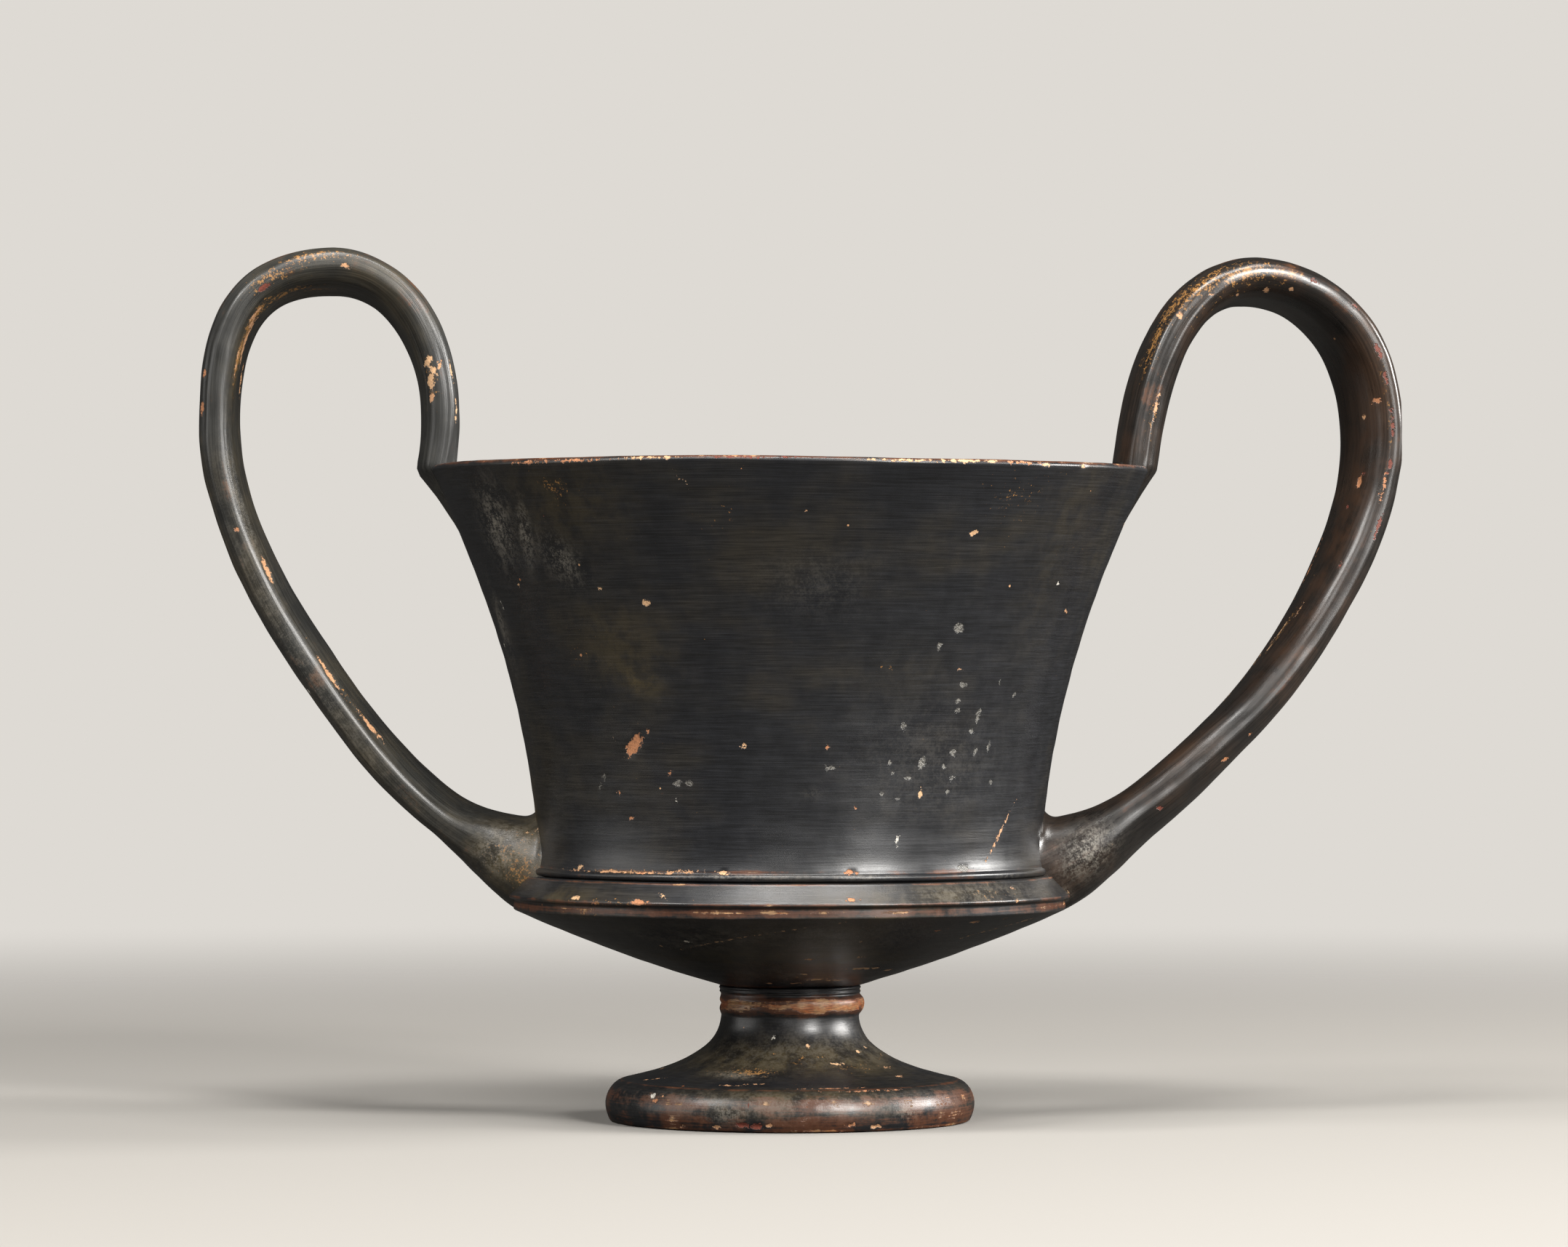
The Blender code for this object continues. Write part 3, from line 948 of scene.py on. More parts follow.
class Profile:
    """A turned outline, evenly resampled, with its corners softened as slip softens clay."""

    STEP = 0.05 * MM
    # Bends, in radians per metre, count up to the sharpest, are averaged over a span of steps, and
    # pull rows closer
    SHARPEST = 2500.0
    BEND_UNIT = 400.0
    BEND_PULL = 2.2
    BEND_SPAN = 9

    def __init__(self, strokes: list[Stroke], soften_mm: float = 0.16) -> None:
        """Join the strokes and soften the corners by a bell-shaped average along the outline.

        Args:
            strokes: parts of the outline in order, from one pole to the other.
            soften_mm: spread of the average.
        """
        points = np.vstack([stroke.points for stroke in strokes])
        worth = np.concatenate([np.full(len(s.points), s.worth) for s in strokes])
        seen = np.concatenate([np.full(len(s.points), float(s.outside)) for s in strokes])
        gaps = np.linalg.norm(np.diff(points, axis=0), axis=1)
        keep = np.concatenate([[True], gaps > 1e-9])
        points, worth, seen = points[keep], worth[keep], seen[keep]
        run = np.concatenate([[0.0], np.cumsum(np.linalg.norm(np.diff(points, axis=0), axis=1))])
        even = np.linspace(0.0, run[-1], int(run[-1] / self.STEP))
        line = np.stack([np.interp(even, run, points[:, axis]) for axis in (0, 1)], axis=1)
        self.worth = np.interp(even, run, worth)
        self.seen = np.interp(even, run, seen)
        self.line = self.softened(line, soften_mm * MM)
        steps = np.linalg.norm(np.diff(self.line, axis=0), axis=1)
        self.run = np.concatenate([[0.0], np.cumsum(steps)])

    def softened(self, line: np.ndarray, spread: float) -> np.ndarray:
        """Weighted average of each point's neighbours, with the ends held by point reflection.

        Args:
            line: evenly spaced points.
            spread: spread of the bell-shaped weights, in metres.

        Returns:
            The softened points.
        """
        half = int(4 * spread / self.STEP)
        offsets = np.arange(-half, half + 1)
        weights = np.exp(-0.5 * (offsets * self.STEP / spread) ** 2)
        weights /= weights.sum()
        before = 2 * line[0] - line[half:0:-1]
        after = 2 * line[-1] - line[-2:-half - 2:-1]
        padded = np.vstack([before, line, after])
        return np.stack([np.convolve(padded[:, axis], weights, mode="valid") for axis in (0, 1)], axis=1)

    def rows(self, count: int) -> tuple[np.ndarray, np.ndarray, np.ndarray]:
        """Pick rows along the outline, closer where it bends and where its worth is high.

        Args:
            count: number of rows.

        Returns:
            Points of the rows, their run, and how far each is on the outside, 0 to 1.
        """
        slope = np.gradient(self.line, self.run, axis=0)
        bend = np.abs(np.gradient(np.arctan2(slope[:, 1], slope[:, 0]), self.run))
        span = np.full(self.BEND_SPAN, 1 / self.BEND_SPAN)
        bend = np.convolve(np.minimum(bend, self.SHARPEST), span, mode="same")
        density = self.worth * (1.0 + self.BEND_PULL * np.sqrt(bend / self.BEND_UNIT))
        total = np.concatenate([[0.0], np.cumsum(density[1:] * np.diff(self.run))])
        picked = np.interp(np.linspace(0.0, total[-1], count + 2)[1:-1], total, self.run)
        points = np.stack([np.interp(picked, self.run, self.line[:, axis]) for axis in (0, 1)], axis=1)
        return points, picked, np.interp(picked, self.run, self.seen)

    def run_at(self, radius: float, height: float) -> float:
        """Run of the outline's point nearest to a radius and height."""
        gaps = np.linalg.norm(self.line - (radius, height), axis=1)
        return float(self.run[np.argmin(gaps)])


@dataclass
class TurnedPart:
    """A part of the wheel-thrown body: a closed profile turned about the cup's axis."""

    sizes: CupSizes
    sight: Sight
    name: str = "turned_part"
    row_count: int = 100
    column_count: int = 480
    seed: int = 1
    marks: tuple[Mark, ...] = ()
    clouds: tuple[Cloud, ...] = ()
    # How much closer the columns stand on the side that faces the viewer
    front_bias: float = 0.45
    # Height of the slow waves that the fingers leave, in millimetres
    throwing_mm: float = 0.030
    hidden_marks: int = 26

    # Lengths and shares of the finger waves, and the length of the drift that bends them
    FINGER_WAVES_MM = ((13.0, 1.0), (8.2, 0.7), (4.6, 0.30))
    DRIFT_MM = 90.0
    # Out-of-round swell, then lengths and heights of the lumps
    SWELL_MM = 0.08
    LUMPS_MM = ((22.0, 0.025), (7.0, 0.010))
    # The unevenness dies away inside this radius, and the streaks are laid out at the other
    STILL_RADIUS = 0.012
    LAY_RADIUS = 0.070
    # Worn edges crumble where their wear is above a level
    CRUMBLE_FROM = 0.35
    CRUMBLE_MM = 0.05
    CRUMB_MM = 3.2

    def strokes(self) -> list[Stroke]:
        """Parts of the profile, from the lower pole to the upper one."""
        raise NotImplementedError

    def rubs(self) -> list[Rub]:
        """Lines of wear."""
        return []

    def rim_lie(self, ring: np.ndarray, z: np.ndarray) -> np.ndarray:
        """Height to add for an uneven rim. Only the bowl has one."""
        return np.zeros_like(z)

    def extra_stains(self, chart: Chart, weather: Weather) -> None:
        """Stains that belong to the part as a whole."""

    def columns(self) -> np.ndarray:
        """Ring angles: even steps less a sine share, so that they crowd towards the front."""
        even = -math.pi + math.tau * np.arange(self.column_count) / self.column_count
        return even - self.front_bias * np.sin(even)

    def chart(self, profile: Profile) -> Chart:
        """Turn the profile: x is the axis plus radius times sine, y is minus radius times cosine.

        Args:
            profile: the outline.

        Returns:
            The surface.
        """
        rows, run, seen = profile.rows(self.row_count)
        ring, radius = np.meshgrid(self.columns(), rows[:, 0])
        z = np.repeat(rows[:, 1:], self.column_count, axis=1)
        points = np.stack([self.sight.axis_x + radius * np.sin(ring), -radius * np.cos(ring), z], axis=-1)
        points[..., 2] += self.rim_lie(ring, z)
        runs = np.repeat(run[:, None], self.column_count, axis=1)
        outside = np.repeat(seen[:, None] > 0.5, self.column_count, axis=1)
        return Chart(points, ring, radius, runs, outside)

    def unevenness(self, chart: Chart) -> np.ndarray:
        """Waves of the fingers along the run, an out-of-round swell, and small lumps.

        Args:
            chart: the surface as turned.

        Returns:
            Metres outwards for each point.
        """
        drift = Ripple(self.DRIFT_MM, self.seed)(chart.points)
        phase = 0.9 * drift + 0.5 * np.sin(chart.ring + self.seed)
        waves = np.zeros_like(chart.run)
        for number, (length, share) in enumerate(self.FINGER_WAVES_MM):
            waves += share * np.sin(math.tau * chart.run / (length * MM) + phase * (1 + number) + number)
        height = waves * self.throwing_mm + self.SWELL_MM * np.sin(2 * chart.ring + self.seed)
        for number, (length, size) in enumerate(self.LUMPS_MM, start=1):
            height += size * Ripple(length, self.seed + number)(chart.points)
        return height * MM * smooth_step(chart.radius / self.STILL_RADIUS)

    def rubbed(self, chart: Chart, profile: Profile) -> np.ndarray:
        """Wear: a bell curve about each rubbed line, uneven round the ring.

        Args:
            chart: the surface.
            profile: its outline, which places the lines.

        Returns:
            Wear of each point, from 0 for none to 1 and a little over for bare clay.
        """
        wear = np.zeros_like(chart.run)
        patches = Ripple(26.0, self.seed + 3)(chart.points) + 0.6 * Ripple(9.0, self.seed + 7)(chart.points)
        for rub in self.rubs():
            away = (chart.run - profile.run_at(rub.radius, rub.height)) / (rub.reach_mm * MM)
            share = rub.strength * (0.92 + 0.16 * patches)
            wear = np.maximum(wear, share * np.exp(-0.5 * away ** 2))
        return np.clip(wear, 0.0, 1.3)

    def lay(self, chart: Chart) -> np.ndarray:
        """Streak coordinates: the ring's angle laid out at a fixed radius, and the run."""
        x, y = self.LAY_RADIUS * np.sin(chart.ring), -self.LAY_RADIUS * np.cos(chart.ring)
        return np.stack([x, y, chart.run], axis=-1)

    def build(self, material: bpy.types.Material) -> bpy.types.Object:
        """Build the piece and dress it.

        Args:
            material: the slip.

        Returns:
            The closed mesh, riding on the cup's body.
        """
        profile = Profile(self.strokes())
        chart = self.chart(profile)
        chart.lift(self.unevenness(chart))
        weather = Weather(chart, self.sight)
        weather.read(self.marks, self.clouds)
        behind = chart.outside & (np.cos(chart.ring) < 0.15) & (chart.radius > 0.01)
        weather.scatter(self.hidden_marks, self.seed + 4, behind)
        self.extra_stains(chart, weather)
        wear = self.rubbed(chart, profile)
        crumbling = np.clip(wear - self.CRUMBLE_FROM, 0.0, 1.0)
        crumbs = Ripple(self.CRUMB_MM, self.seed + 5)(chart.points) * self.CRUMBLE_MM * MM
        chart.lift(-weather.depth + crumbling * crumbs)
        line = profile.line
        ends = (np.array([self.sight.axis_x, 0.0, line[0, 1]]),
                np.array([self.sight.axis_x, 0.0, line[-1, 1]]))
        fields = {"lay": self.lay(chart), "stains": weather.stains, "rubbed": wear,
                  "flaws": np.stack([weather.loss, weather.pit, weather.tone], axis=-1)}
        piece = closed_mesh(self.name, chart, ends, fields)
        return settle(piece, material)


def settle(piece: bpy.types.Object, material: bpy.types.Material) -> bpy.types.Object:
    """Give a piece its finish and its body, and hide the solid's node that it takes the place of.

    Args:
        piece: the finished mesh.
        material: its slip.

    Returns:
        The same piece.
    """
    piece.data.materials.append(material)
    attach(piece, BODY)
    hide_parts(NODE)
    triangles = sum(len(face.vertices) - 2 for face in piece.data.polygons)
    LOG.info("%s: %d triangles", piece.name, triangles)
    return piece


# Angle round the rim in degrees, from -180 to 180 with the viewer at 0, and the lip's height there
LIP_LIE_MM = (
    (-180.0, 0.05), (-120.0, -0.20), (-75.0, 0.10), (-57.0, 0.25), (-40.0, 0.02), (-23.0, 0.33),
    (-10.0, 0.24), (2.0, 0.05), (13.0, -0.42), (25.0, -0.56), (45.0, -0.48), (60.0, -0.55),
    (110.0, 0.10), (150.0, 0.25), (180.0, 0.05),
)

WALL_MARKS = Mark.listed(
    (Flaw.CHIP, Tone.ORANGE, (872, 1024, 7.4, 2.9, 44), (1171, 1199, 2.6, 0.9)),
    (Flaw.FLECK, Tone.ORANGE, (891, 1004, 1.3, 1.2), (922, 1065, 1, 0.9), (850, 1091, 1.2, 1),
     (868, 1125, 0.9, 0.8), (1138, 1027, 1, 0.9), (1177, 1114, 0.8, 0.7), (881, 1201, 2.2, 0.9)),
    (Flaw.FLECK, Tone.CREAM, (888, 830, 2.2, 1.8, 20), (825, 811, 1.1, 1), (713, 806, 0.9, 0.8),
     (844, 1016, 0.9, 0.9), (1022, 1025, 1.5, 1.3), (942, 659, 3.4, 0.5, -53), (799, 1193, 1.8, 0.9)),
    (Flaw.FLECK, Tone.RED, (745, 708, 0.8, 0.7)),
    (Flaw.FLECK, Tone.WHITE, (690, 829, 2.2, 0.8, 90), (693, 887, 1, 0.7, 90), (928, 1101, 1.2, 1),
     (1373, 902, 1.1, 1), (1455, 801, 1, 0.8), (1234, 1156, 1.6, 0.7, 80)),
    (Flaw.PIT, Tone.WHITE, (932, 1076, 2.2, 1.8, 40), (948, 1078, 1.9, 1.7), (831, 1066, 1.9, 1.3, 90),
     (825, 1084, 1.5, 1.1, 90), (1319, 863, 2.9, 2.6), (1292, 889, 2, 1.4, 90),
     (1375, 939, 1.7, 1, 90), (1394, 956, 1.3, 0.9, 90), (1324, 942, 2.1, 1.8),
     (1318, 962, 1.6, 1.3), (1317, 978, 1.3, 1.1), (1345, 984, 3, 1.6, 80), (1336, 1008, 1.6, 1.4),
     (1359, 1029, 2.5, 1.2, 85), (1341, 1032, 2.5, 1.2, 95), (1310, 1034, 2.1, 1.9),
     (1242, 998, 2, 1.4, 100), (1223, 1048, 1.3, 1.1), (1227, 1061, 1.1, 0.9),
     (1268, 1050, 2.7, 1.9, 75), (1298, 1053, 1.3, 1.1), (1250, 1070, 1.9, 1.1, 10),
     (1309, 1072, 1.5, 1.2), (1362, 1075, 1.4, 1.2), (1302, 1088, 1.8, 1, 90), (1213, 1093, 1.4, 1.2),
     (1234, 1099, 1.2, 1.1), (1142, 1055, 2.2, 1.2), (1325, 1194, 4.4, 1.4)),
    (Flaw.CHIP, Tone.CREAM, (1339, 732, 2, 1.6, 30), (1265, 1093, 1.7, 1.1, 80),
     (995, 1200, 2.2, 0.9)),
    (Flaw.FLECK, Tone.OCHRE, (1109, 699, 0.8, 0.7), (1465, 841, 1.4, 0.8, 90), (1320, 923, 1.1, 0.9),
     (1378, 1139, 8.8, 0.40, 51), (850, 1199, 20, 0.55), (940, 1199, 9, 0.5)),
)

LIP_MARKS = Mark.listed(
    (Flaw.FLECK, Tone.ORANGE, (728, 636, 7, 0.5), (790, 633, 11, 0.5), (1410, 636, 8, 0.5)),
    (Flaw.FLECK, Tone.CREAM, (894, 629, 9, 0.6), (1240, 633, 10, 0.5), (1330, 634, 13, 0.6)),
    (Flaw.FLECK, Tone.RED, (1030, 628, 16, 0.4)),
    (Flaw.CHIP, Tone.CREAM, (1438, 639, 2.2, 1.3), (1491, 641, 2, 1.2)),
)

# The three thin bloom rows at height 1206 lie along the bead and are painted highlight: pale bands that
# brighten the bead as its highlight does
WALL_CLOUDS = Cloud.listed(
    (Stain.BLOOM_AND_HIGHLIGHT, (0.8, 682, 718, 22, 14, 70), (0.9, 722, 732, 16, 5, 75),
     (0.6, 768, 768, 16, 10, -40), (0.5, 690, 860, 22, 8, 85), (0.10, 1122, 803, 26, 16),
     (0.08, 1280, 1050, 44, 30), (0.12, 1116, 1092, 5, 3), (0.6, 1010, 1206, 34, 1.4),
     (0.6, 1186, 1206, 18, 1.4), (0.5, 1386, 1206, 10, 1.4)),
    (Stain.OCHRE, (0.7, 764, 672, 13, 8), (0.3, 988, 710, 11, 12), (0.42, 1398, 686, 26, 16),
     (0.4, 800, 900, 16, 14), (0.5, 1216, 925, 6, 5), (0.6, 862, 1198, 40, 1.8)),
    (Stain.MISFIRE, (0.36, 850, 895, 28, 22, -30), (0.75, 878, 934, 13, 8, -20),
     (0.35, 760, 690, 40, 26), (0.12, 1450, 760, 22, 60), (0.1, 1240, 925, 30, 14),
     (0.5, 735, 1150, 20, 34)),
)

BASE_MARKS = Mark.listed(
    (Flaw.FLECK, Tone.CREAM, (792, 1234, 2.2, 0.9), (910, 1232, 2.4, 0.8, -30),
     (1015, 1290, 19, 0.35, 24), (908, 1301, 0.9, 0.8), (1184, 1295, 1.3, 0.8), (1184, 1316, 1.7, 0.8),
     (1189, 1332, 7.6, 1.1), (1220, 1334, 2.6, 0.9), (1105, 1340, 2.2, 1), (1121, 1347, 4.6, 1.6),
     (1148, 1348, 4.4, 1.2), (1377, 1275, 13.5, 0.35, 34)),
    (Flaw.FLECK, Tone.ORANGE, (820, 1242, 1.8, 1), (878, 1241, 4, 1.5), (1172, 1237, 2.6, 0.9),
     (1290, 1280, 1.6, 1.3)),
    (Flaw.FLECK, Tone.OCHRE, (1391, 1221, 1.1, 0.8), (1399, 1238, 1.3, 0.8), (1116, 1319, 3, 0.8),
     (1057, 1352, 2.4, 0.9), (1095, 1352, 2, 0.9), (1340, 1268, 2.8, 1.1), (1382, 1263, 1.6, 1.1)),
    (Flaw.FLECK, Tone.WHITE, (945, 1295, 2, 1, -20)),
)

# Some rows are partly painted light: the wide bloom across the underside at 1086, 1290 is fine pale
# scratching and a painted soft reflection, and the misfire and bloom on the band's right end at 1300 and
# 1340, 1230 are an olive-grey tone and a painted highlight
BASE_CLOUDS = Cloud.listed(
    (Stain.OCHRE, (0.55, 830, 1242, 36, 6), (0.6, 810, 1256, 16, 4), (0.5, 1370, 1230, 24, 6),
     (0.5, 1140, 1345, 26, 6)),
    (Stain.MISFIRE, (0.5, 770, 1240, 24, 10), (0.35, 1300, 1230, 60, 7),
     (0.35, 1060, 1320, 120, 18), (0.4, 1240, 1250, 30, 16)),
    (Stain.BLOOM_AND_HIGHLIGHT, (0.4, 1070, 1340, 22, 8), (0.3, 960, 1300, 30, 10),
     (0.28, 1086, 1290, 150, 22), (0.25, 1340, 1230, 50, 7)),
)

FOOT_MARKS = Mark.listed(
    (Flaw.FLECK, Tone.CREAM, (1181, 1447, 1.5, 1.2), (1149, 1463, 3.8, 0.8), (1112, 1439, 0.8, 0.6),
     (1189, 1440, 0.9, 0.7)),
    (Flaw.FLECK, Tone.OCHRE, (1220, 1468, 2.2, 0.9), (1236, 1480, 2.6, 0.8), (1007, 1493, 4, 0.6),
     (1042, 1491, 3.4, 0.5), (898, 1484, 3.6, 0.5, 30)),
    (Flaw.FLECK, Tone.WHITE, (1063, 1427, 0.8, 0.6)),
    (Flaw.CHIP, Tone.WHITE, (897, 1507, 1.8, 1.3)),
    (Flaw.FLECK, Tone.ORANGE, (901, 1514, 1.4, 1), (1140, 1497, 9, 0.5), (1190, 1500, 8, 0.4)),
    (Flaw.CHIP, Tone.OCHRE, (939, 1548, 2.2, 0.8), (983, 1550, 1.8, 0.8), (1058, 1548, 1.4, 0.9),
     (1204, 1549, 2.6, 0.8)),
    (Flaw.CHIP, Tone.RED, (1020, 1548, 3, 1.2), (1041, 1549, 2.8, 1.4)),
    (Flaw.CHIP, Tone.ORANGE, (1168, 1547, 2, 0.8)),
    (Flaw.FLECK, Tone.RED, (1029, 1519, 0.3, 3.2, 8)),
)

# The wide bloom row at 1100, 1450 over the cone is partly fine pale haze and partly painted reflection of
# the key light
FOOT_CLOUDS = Cloud.listed(
    (Stain.OCHRE, (0.8, 1030, 1475, 22, 8), (0.6, 1180, 1468, 20, 7),
     (1, 1102, 1456, 4, 1.6, 50), (1, 1094, 1462, 4, 1.4, -20), (0.9, 1066, 1449, 4, 1.2),
     (0.8, 1130, 1453, 5, 1.2), (0.8, 1210, 1455, 12, 1, 20)),
    (Stain.BLOOM_AND_HIGHLIGHT, (0.6, 1020, 1478, 18, 5), (0.6, 1000, 1530, 14, 5), (0.5, 1246, 1528, 8, 5),
     (0.22, 1100, 1450, 80, 16), (0.3, 1080, 1520, 110, 8)),
    (Stain.MISFIRE, (0.6, 1080, 1515, 60, 9), (0.55, 1080, 1460, 90, 16)),
)


@dataclass
class Bowl(TurnedPart):
    """The flaring wall with its lip, and the inside down to the floor."""

    name: str = "bowl"
    row_count: int = 182
    column_count: int = 520
    seed: int = 11
    marks: tuple[Mark, ...] = WALL_MARKS + LIP_MARKS
    clouds: tuple[Cloud, ...] = WALL_CLOUDS
    hidden_marks: int = 46

    # Height over which the lip's uneven lie fades, and the turn that it is averaged over
    LIE_FADE = 0.030
    LIE_TURNS = np.radians(4.0) * np.arange(-3, 4)
    # Stains of old drink, which grow from this height down over the next
    DREGS = ((Stain.MISFIRE, 0.45), (Stain.OCHRE, 0.45), (Stain.BLOOM_AND_HIGHLIGHT, 0.40))
    DREGS_TOP = 0.085
    DREGS_FADE = 0.030

    def middle_of_clay(self) -> list[tuple[float, float]]:
        """Hidden line through the clay of the floor, from the axis out to the groove.

        Returns:
            Radius and height of its points.
        """
        s = self.sizes
        floor = s.neck_top_z + s.floor_thickness / 2
        return [(0.0, floor), (s.neck_radius, floor + 0.0022), (s.waist_radius * 0.62, s.edge_z - 0.0080),
                (s.waist_radius * 0.90, s.edge_z - 0.0006), (s.waist_radius - 0.0012, s.band_top_z)]

    def strokes(self) -> list[Stroke]:
        """Floor's hidden side, the bead, the wall, the lip, the inside wall and the floor.

        Returns:
            The parts in that order.
        """
        s = self.sizes
        seam = (s.seam_radius, s.bead_centre_z - s.bead_bulge)
        hidden = np.array(self.middle_of_clay() + [seam])
        turn = np.radians(np.linspace(-62.0, 82.0, 26))
        bead = np.stack([s.bead_centre_radius + s.bead_bulge * np.cos(turn),
                         s.bead_centre_z + s.bead_bulge * np.sin(turn)], axis=1)
        crease = (s.waist_radius + s.spring_proud - HAIR, s.bead_centre_z + s.bead_bulge + HAIR)
        bead = np.vstack([seam, bead, crease])
        top = s.rim_z - s.wall_at_lip / 2
        z = np.linspace(s.waist_z, top, 200)
        wall = np.stack([s.wall_radius(z) + s.spring(z), z], axis=1)
        half = s.wall_at_lip / 2
        turn = np.linspace(0.0, math.pi, 30)
        middle = wall[-1, 0] - half
        lip = np.stack([middle + half * np.cos(turn), top + half * np.sin(turn)], axis=1)
        corner_z = s.edge_z + s.bowl_corner
        z = np.linspace(top, corner_z, 160)
        inside = np.stack([s.wall_radius(z) - s.wall_thickness(z), z], axis=1)
        inner = float(inside[-1, 0])
        rim = (inner - s.bowl_corner, s.edge_z - s.bowl_corner * 0.25)
        curve = bezier((inner, corner_z), (inner, corner_z - s.bowl_corner * 0.7),
                       (inner - s.bowl_corner * 0.35, rim[1] + s.bowl_corner * 0.25), rim, 40)
        floor_z = s.neck_top_z + s.floor_thickness
        floor = bezier(rim, (rim[0] * 0.62, floor_z + (rim[1] - floor_z) * 0.45),
                       (rim[0] * 0.35, floor_z), (0.0, floor_z), 60)
        return [Stroke(hidden, 0.12, False), Stroke(bead, 1.6), Stroke(wall, 1.15), Stroke(lip, 1.3),
                Stroke(inside, 0.6, False), Stroke(curve, 0.6, False), Stroke(floor, 0.5, False)]

    def rubs(self) -> list[Rub]:
        """The lip is rubbed most, the bead at the foot of the wall a little."""
        s = self.sizes
        return [Rub(s.rim_radius - s.wall_at_lip / 2, s.rim_z, 0.7, 0.55),
                Rub(s.waist_radius + s.spring_proud, s.waist_z, 0.5, 0.40),
                Rub(s.bead_centre_radius + s.bead_bulge, s.bead_centre_z, 0.7, 0.24)]

    def rim_lie(self, ring: np.ndarray, z: np.ndarray) -> np.ndarray:
        """Uneven lip: the lie read round the rim, averaged over a small turn, fading down the wall.

        Args:
            ring: angle of each point.
            z: its height.

        Returns:
            Height to add.
        """
        angles = np.radians([angle for angle, _ in LIP_LIE_MM])
        lies = np.array([lie for _, lie in LIP_LIE_MM]) * MM
        lie = sum(np.interp((ring + shift + math.pi) % math.tau - math.pi, angles, lies)
                  for shift in self.LIE_TURNS)
        fade = smooth_step((z - self.sizes.rim_z) / self.LIE_FADE + 1.0)
        return lie / len(self.LIE_TURNS) * fade

    def extra_stains(self, chart: Chart, weather: Weather) -> None:
        """Browner, drier floor inside, in patches that thin out up the wall.

        Args:
            chart: the surface.
            weather: its fields, which take the stains.
        """
        low = smooth_step((self.DREGS_TOP - chart.points[..., 2]) / self.DREGS_FADE)
        patches = 0.5 + 0.35 * Ripple(30.0, self.seed + 6)(chart.points)
        dregs = np.where(chart.outside, 0.0, low * np.clip(patches, 0.0, 1.0))
        for stain, strength in self.DREGS:
            channel = weather.stains[..., stain.value]
            np.maximum(channel, strength * dregs, out=channel)


@dataclass
class CarinatedBase(TurnedPart):
    """The shallow underside, the sharp edge above it, the sloping band and the groove."""

    name: str = "carinated_base"
    row_count: int = 150
    column_count: int = 640
    seed: int = 23
    marks: tuple[Mark, ...] = BASE_MARKS
    clouds: tuple[Cloud, ...] = BASE_CLOUDS
    throwing_mm: float = 0.020

    def strokes(self) -> list[Stroke]:
        """Hidden face on the neck, the underside, fascia, edge and band, and the hidden top.

        Returns:
            The parts in that order.
        """
        s = self.sizes
        start = (s.neck_radius, s.neck_top_z)
        fascia = s.edge_radius - s.fascia_inset
        corner = (fascia, s.underside_top_z)
        joint = np.array([(0.0, s.neck_top_z), start])
        t = np.linspace(0.0, 1.0, 60)
        run = np.subtract(corner, start)
        across = np.array([run[1], -run[0]]) / np.linalg.norm(run)
        under = np.array(start) + t[:, None] * run + (4 * t * (1 - t) * s.underside_bulge)[:, None] * across
        roll = s.roll_bulge
        turn = np.radians(np.linspace(-115.0, 44.0, 26))
        edge = np.stack([s.edge_radius - roll + roll * np.cos(turn),
                         s.edge_z + roll * 0.9 + roll * np.sin(turn)], axis=1)
        edge = np.vstack([corner, (fascia - 0.00005, s.edge_z - roll * 0.6), edge])
        band = np.array([edge[-1], (s.ridge_radius, s.band_top_z),
                         (s.ridge_radius - 0.00012, s.band_top_z + 3 * HAIR),
                         (s.ridge_radius - 7 * HAIR, s.band_top_z + 4 * HAIR),
                         (s.seam_radius + HAIR, s.band_top_z + 5 * HAIR),
                         (s.seam_radius, s.bead_centre_z - s.bead_bulge - HAIR)])
        hidden = np.array(Bowl(s, self.sight).middle_of_clay()[::-1]) - (0.0, 3 * HAIR)
        return [Stroke(joint, 0.12, False), Stroke(under, 0.75), Stroke(edge, 1.5), Stroke(band, 1.7),
                Stroke(hidden, 0.10, False)]

    def rubs(self) -> list[Rub]:
        """The sharp edge, the ridge above the band, and the fascia."""
        s = self.sizes
        return [Rub(s.edge_radius, s.edge_z + s.roll_bulge, 0.40, 0.44),
                Rub(s.ridge_radius, s.band_top_z + 0.0002, 0.28, 0.50),
                Rub(s.edge_radius - s.fascia_inset, s.edge_z - s.fascia_height / 2, 0.95, 0.56),
                Rub(s.neck_radius, s.neck_top_z, 2.4, 0.46)]


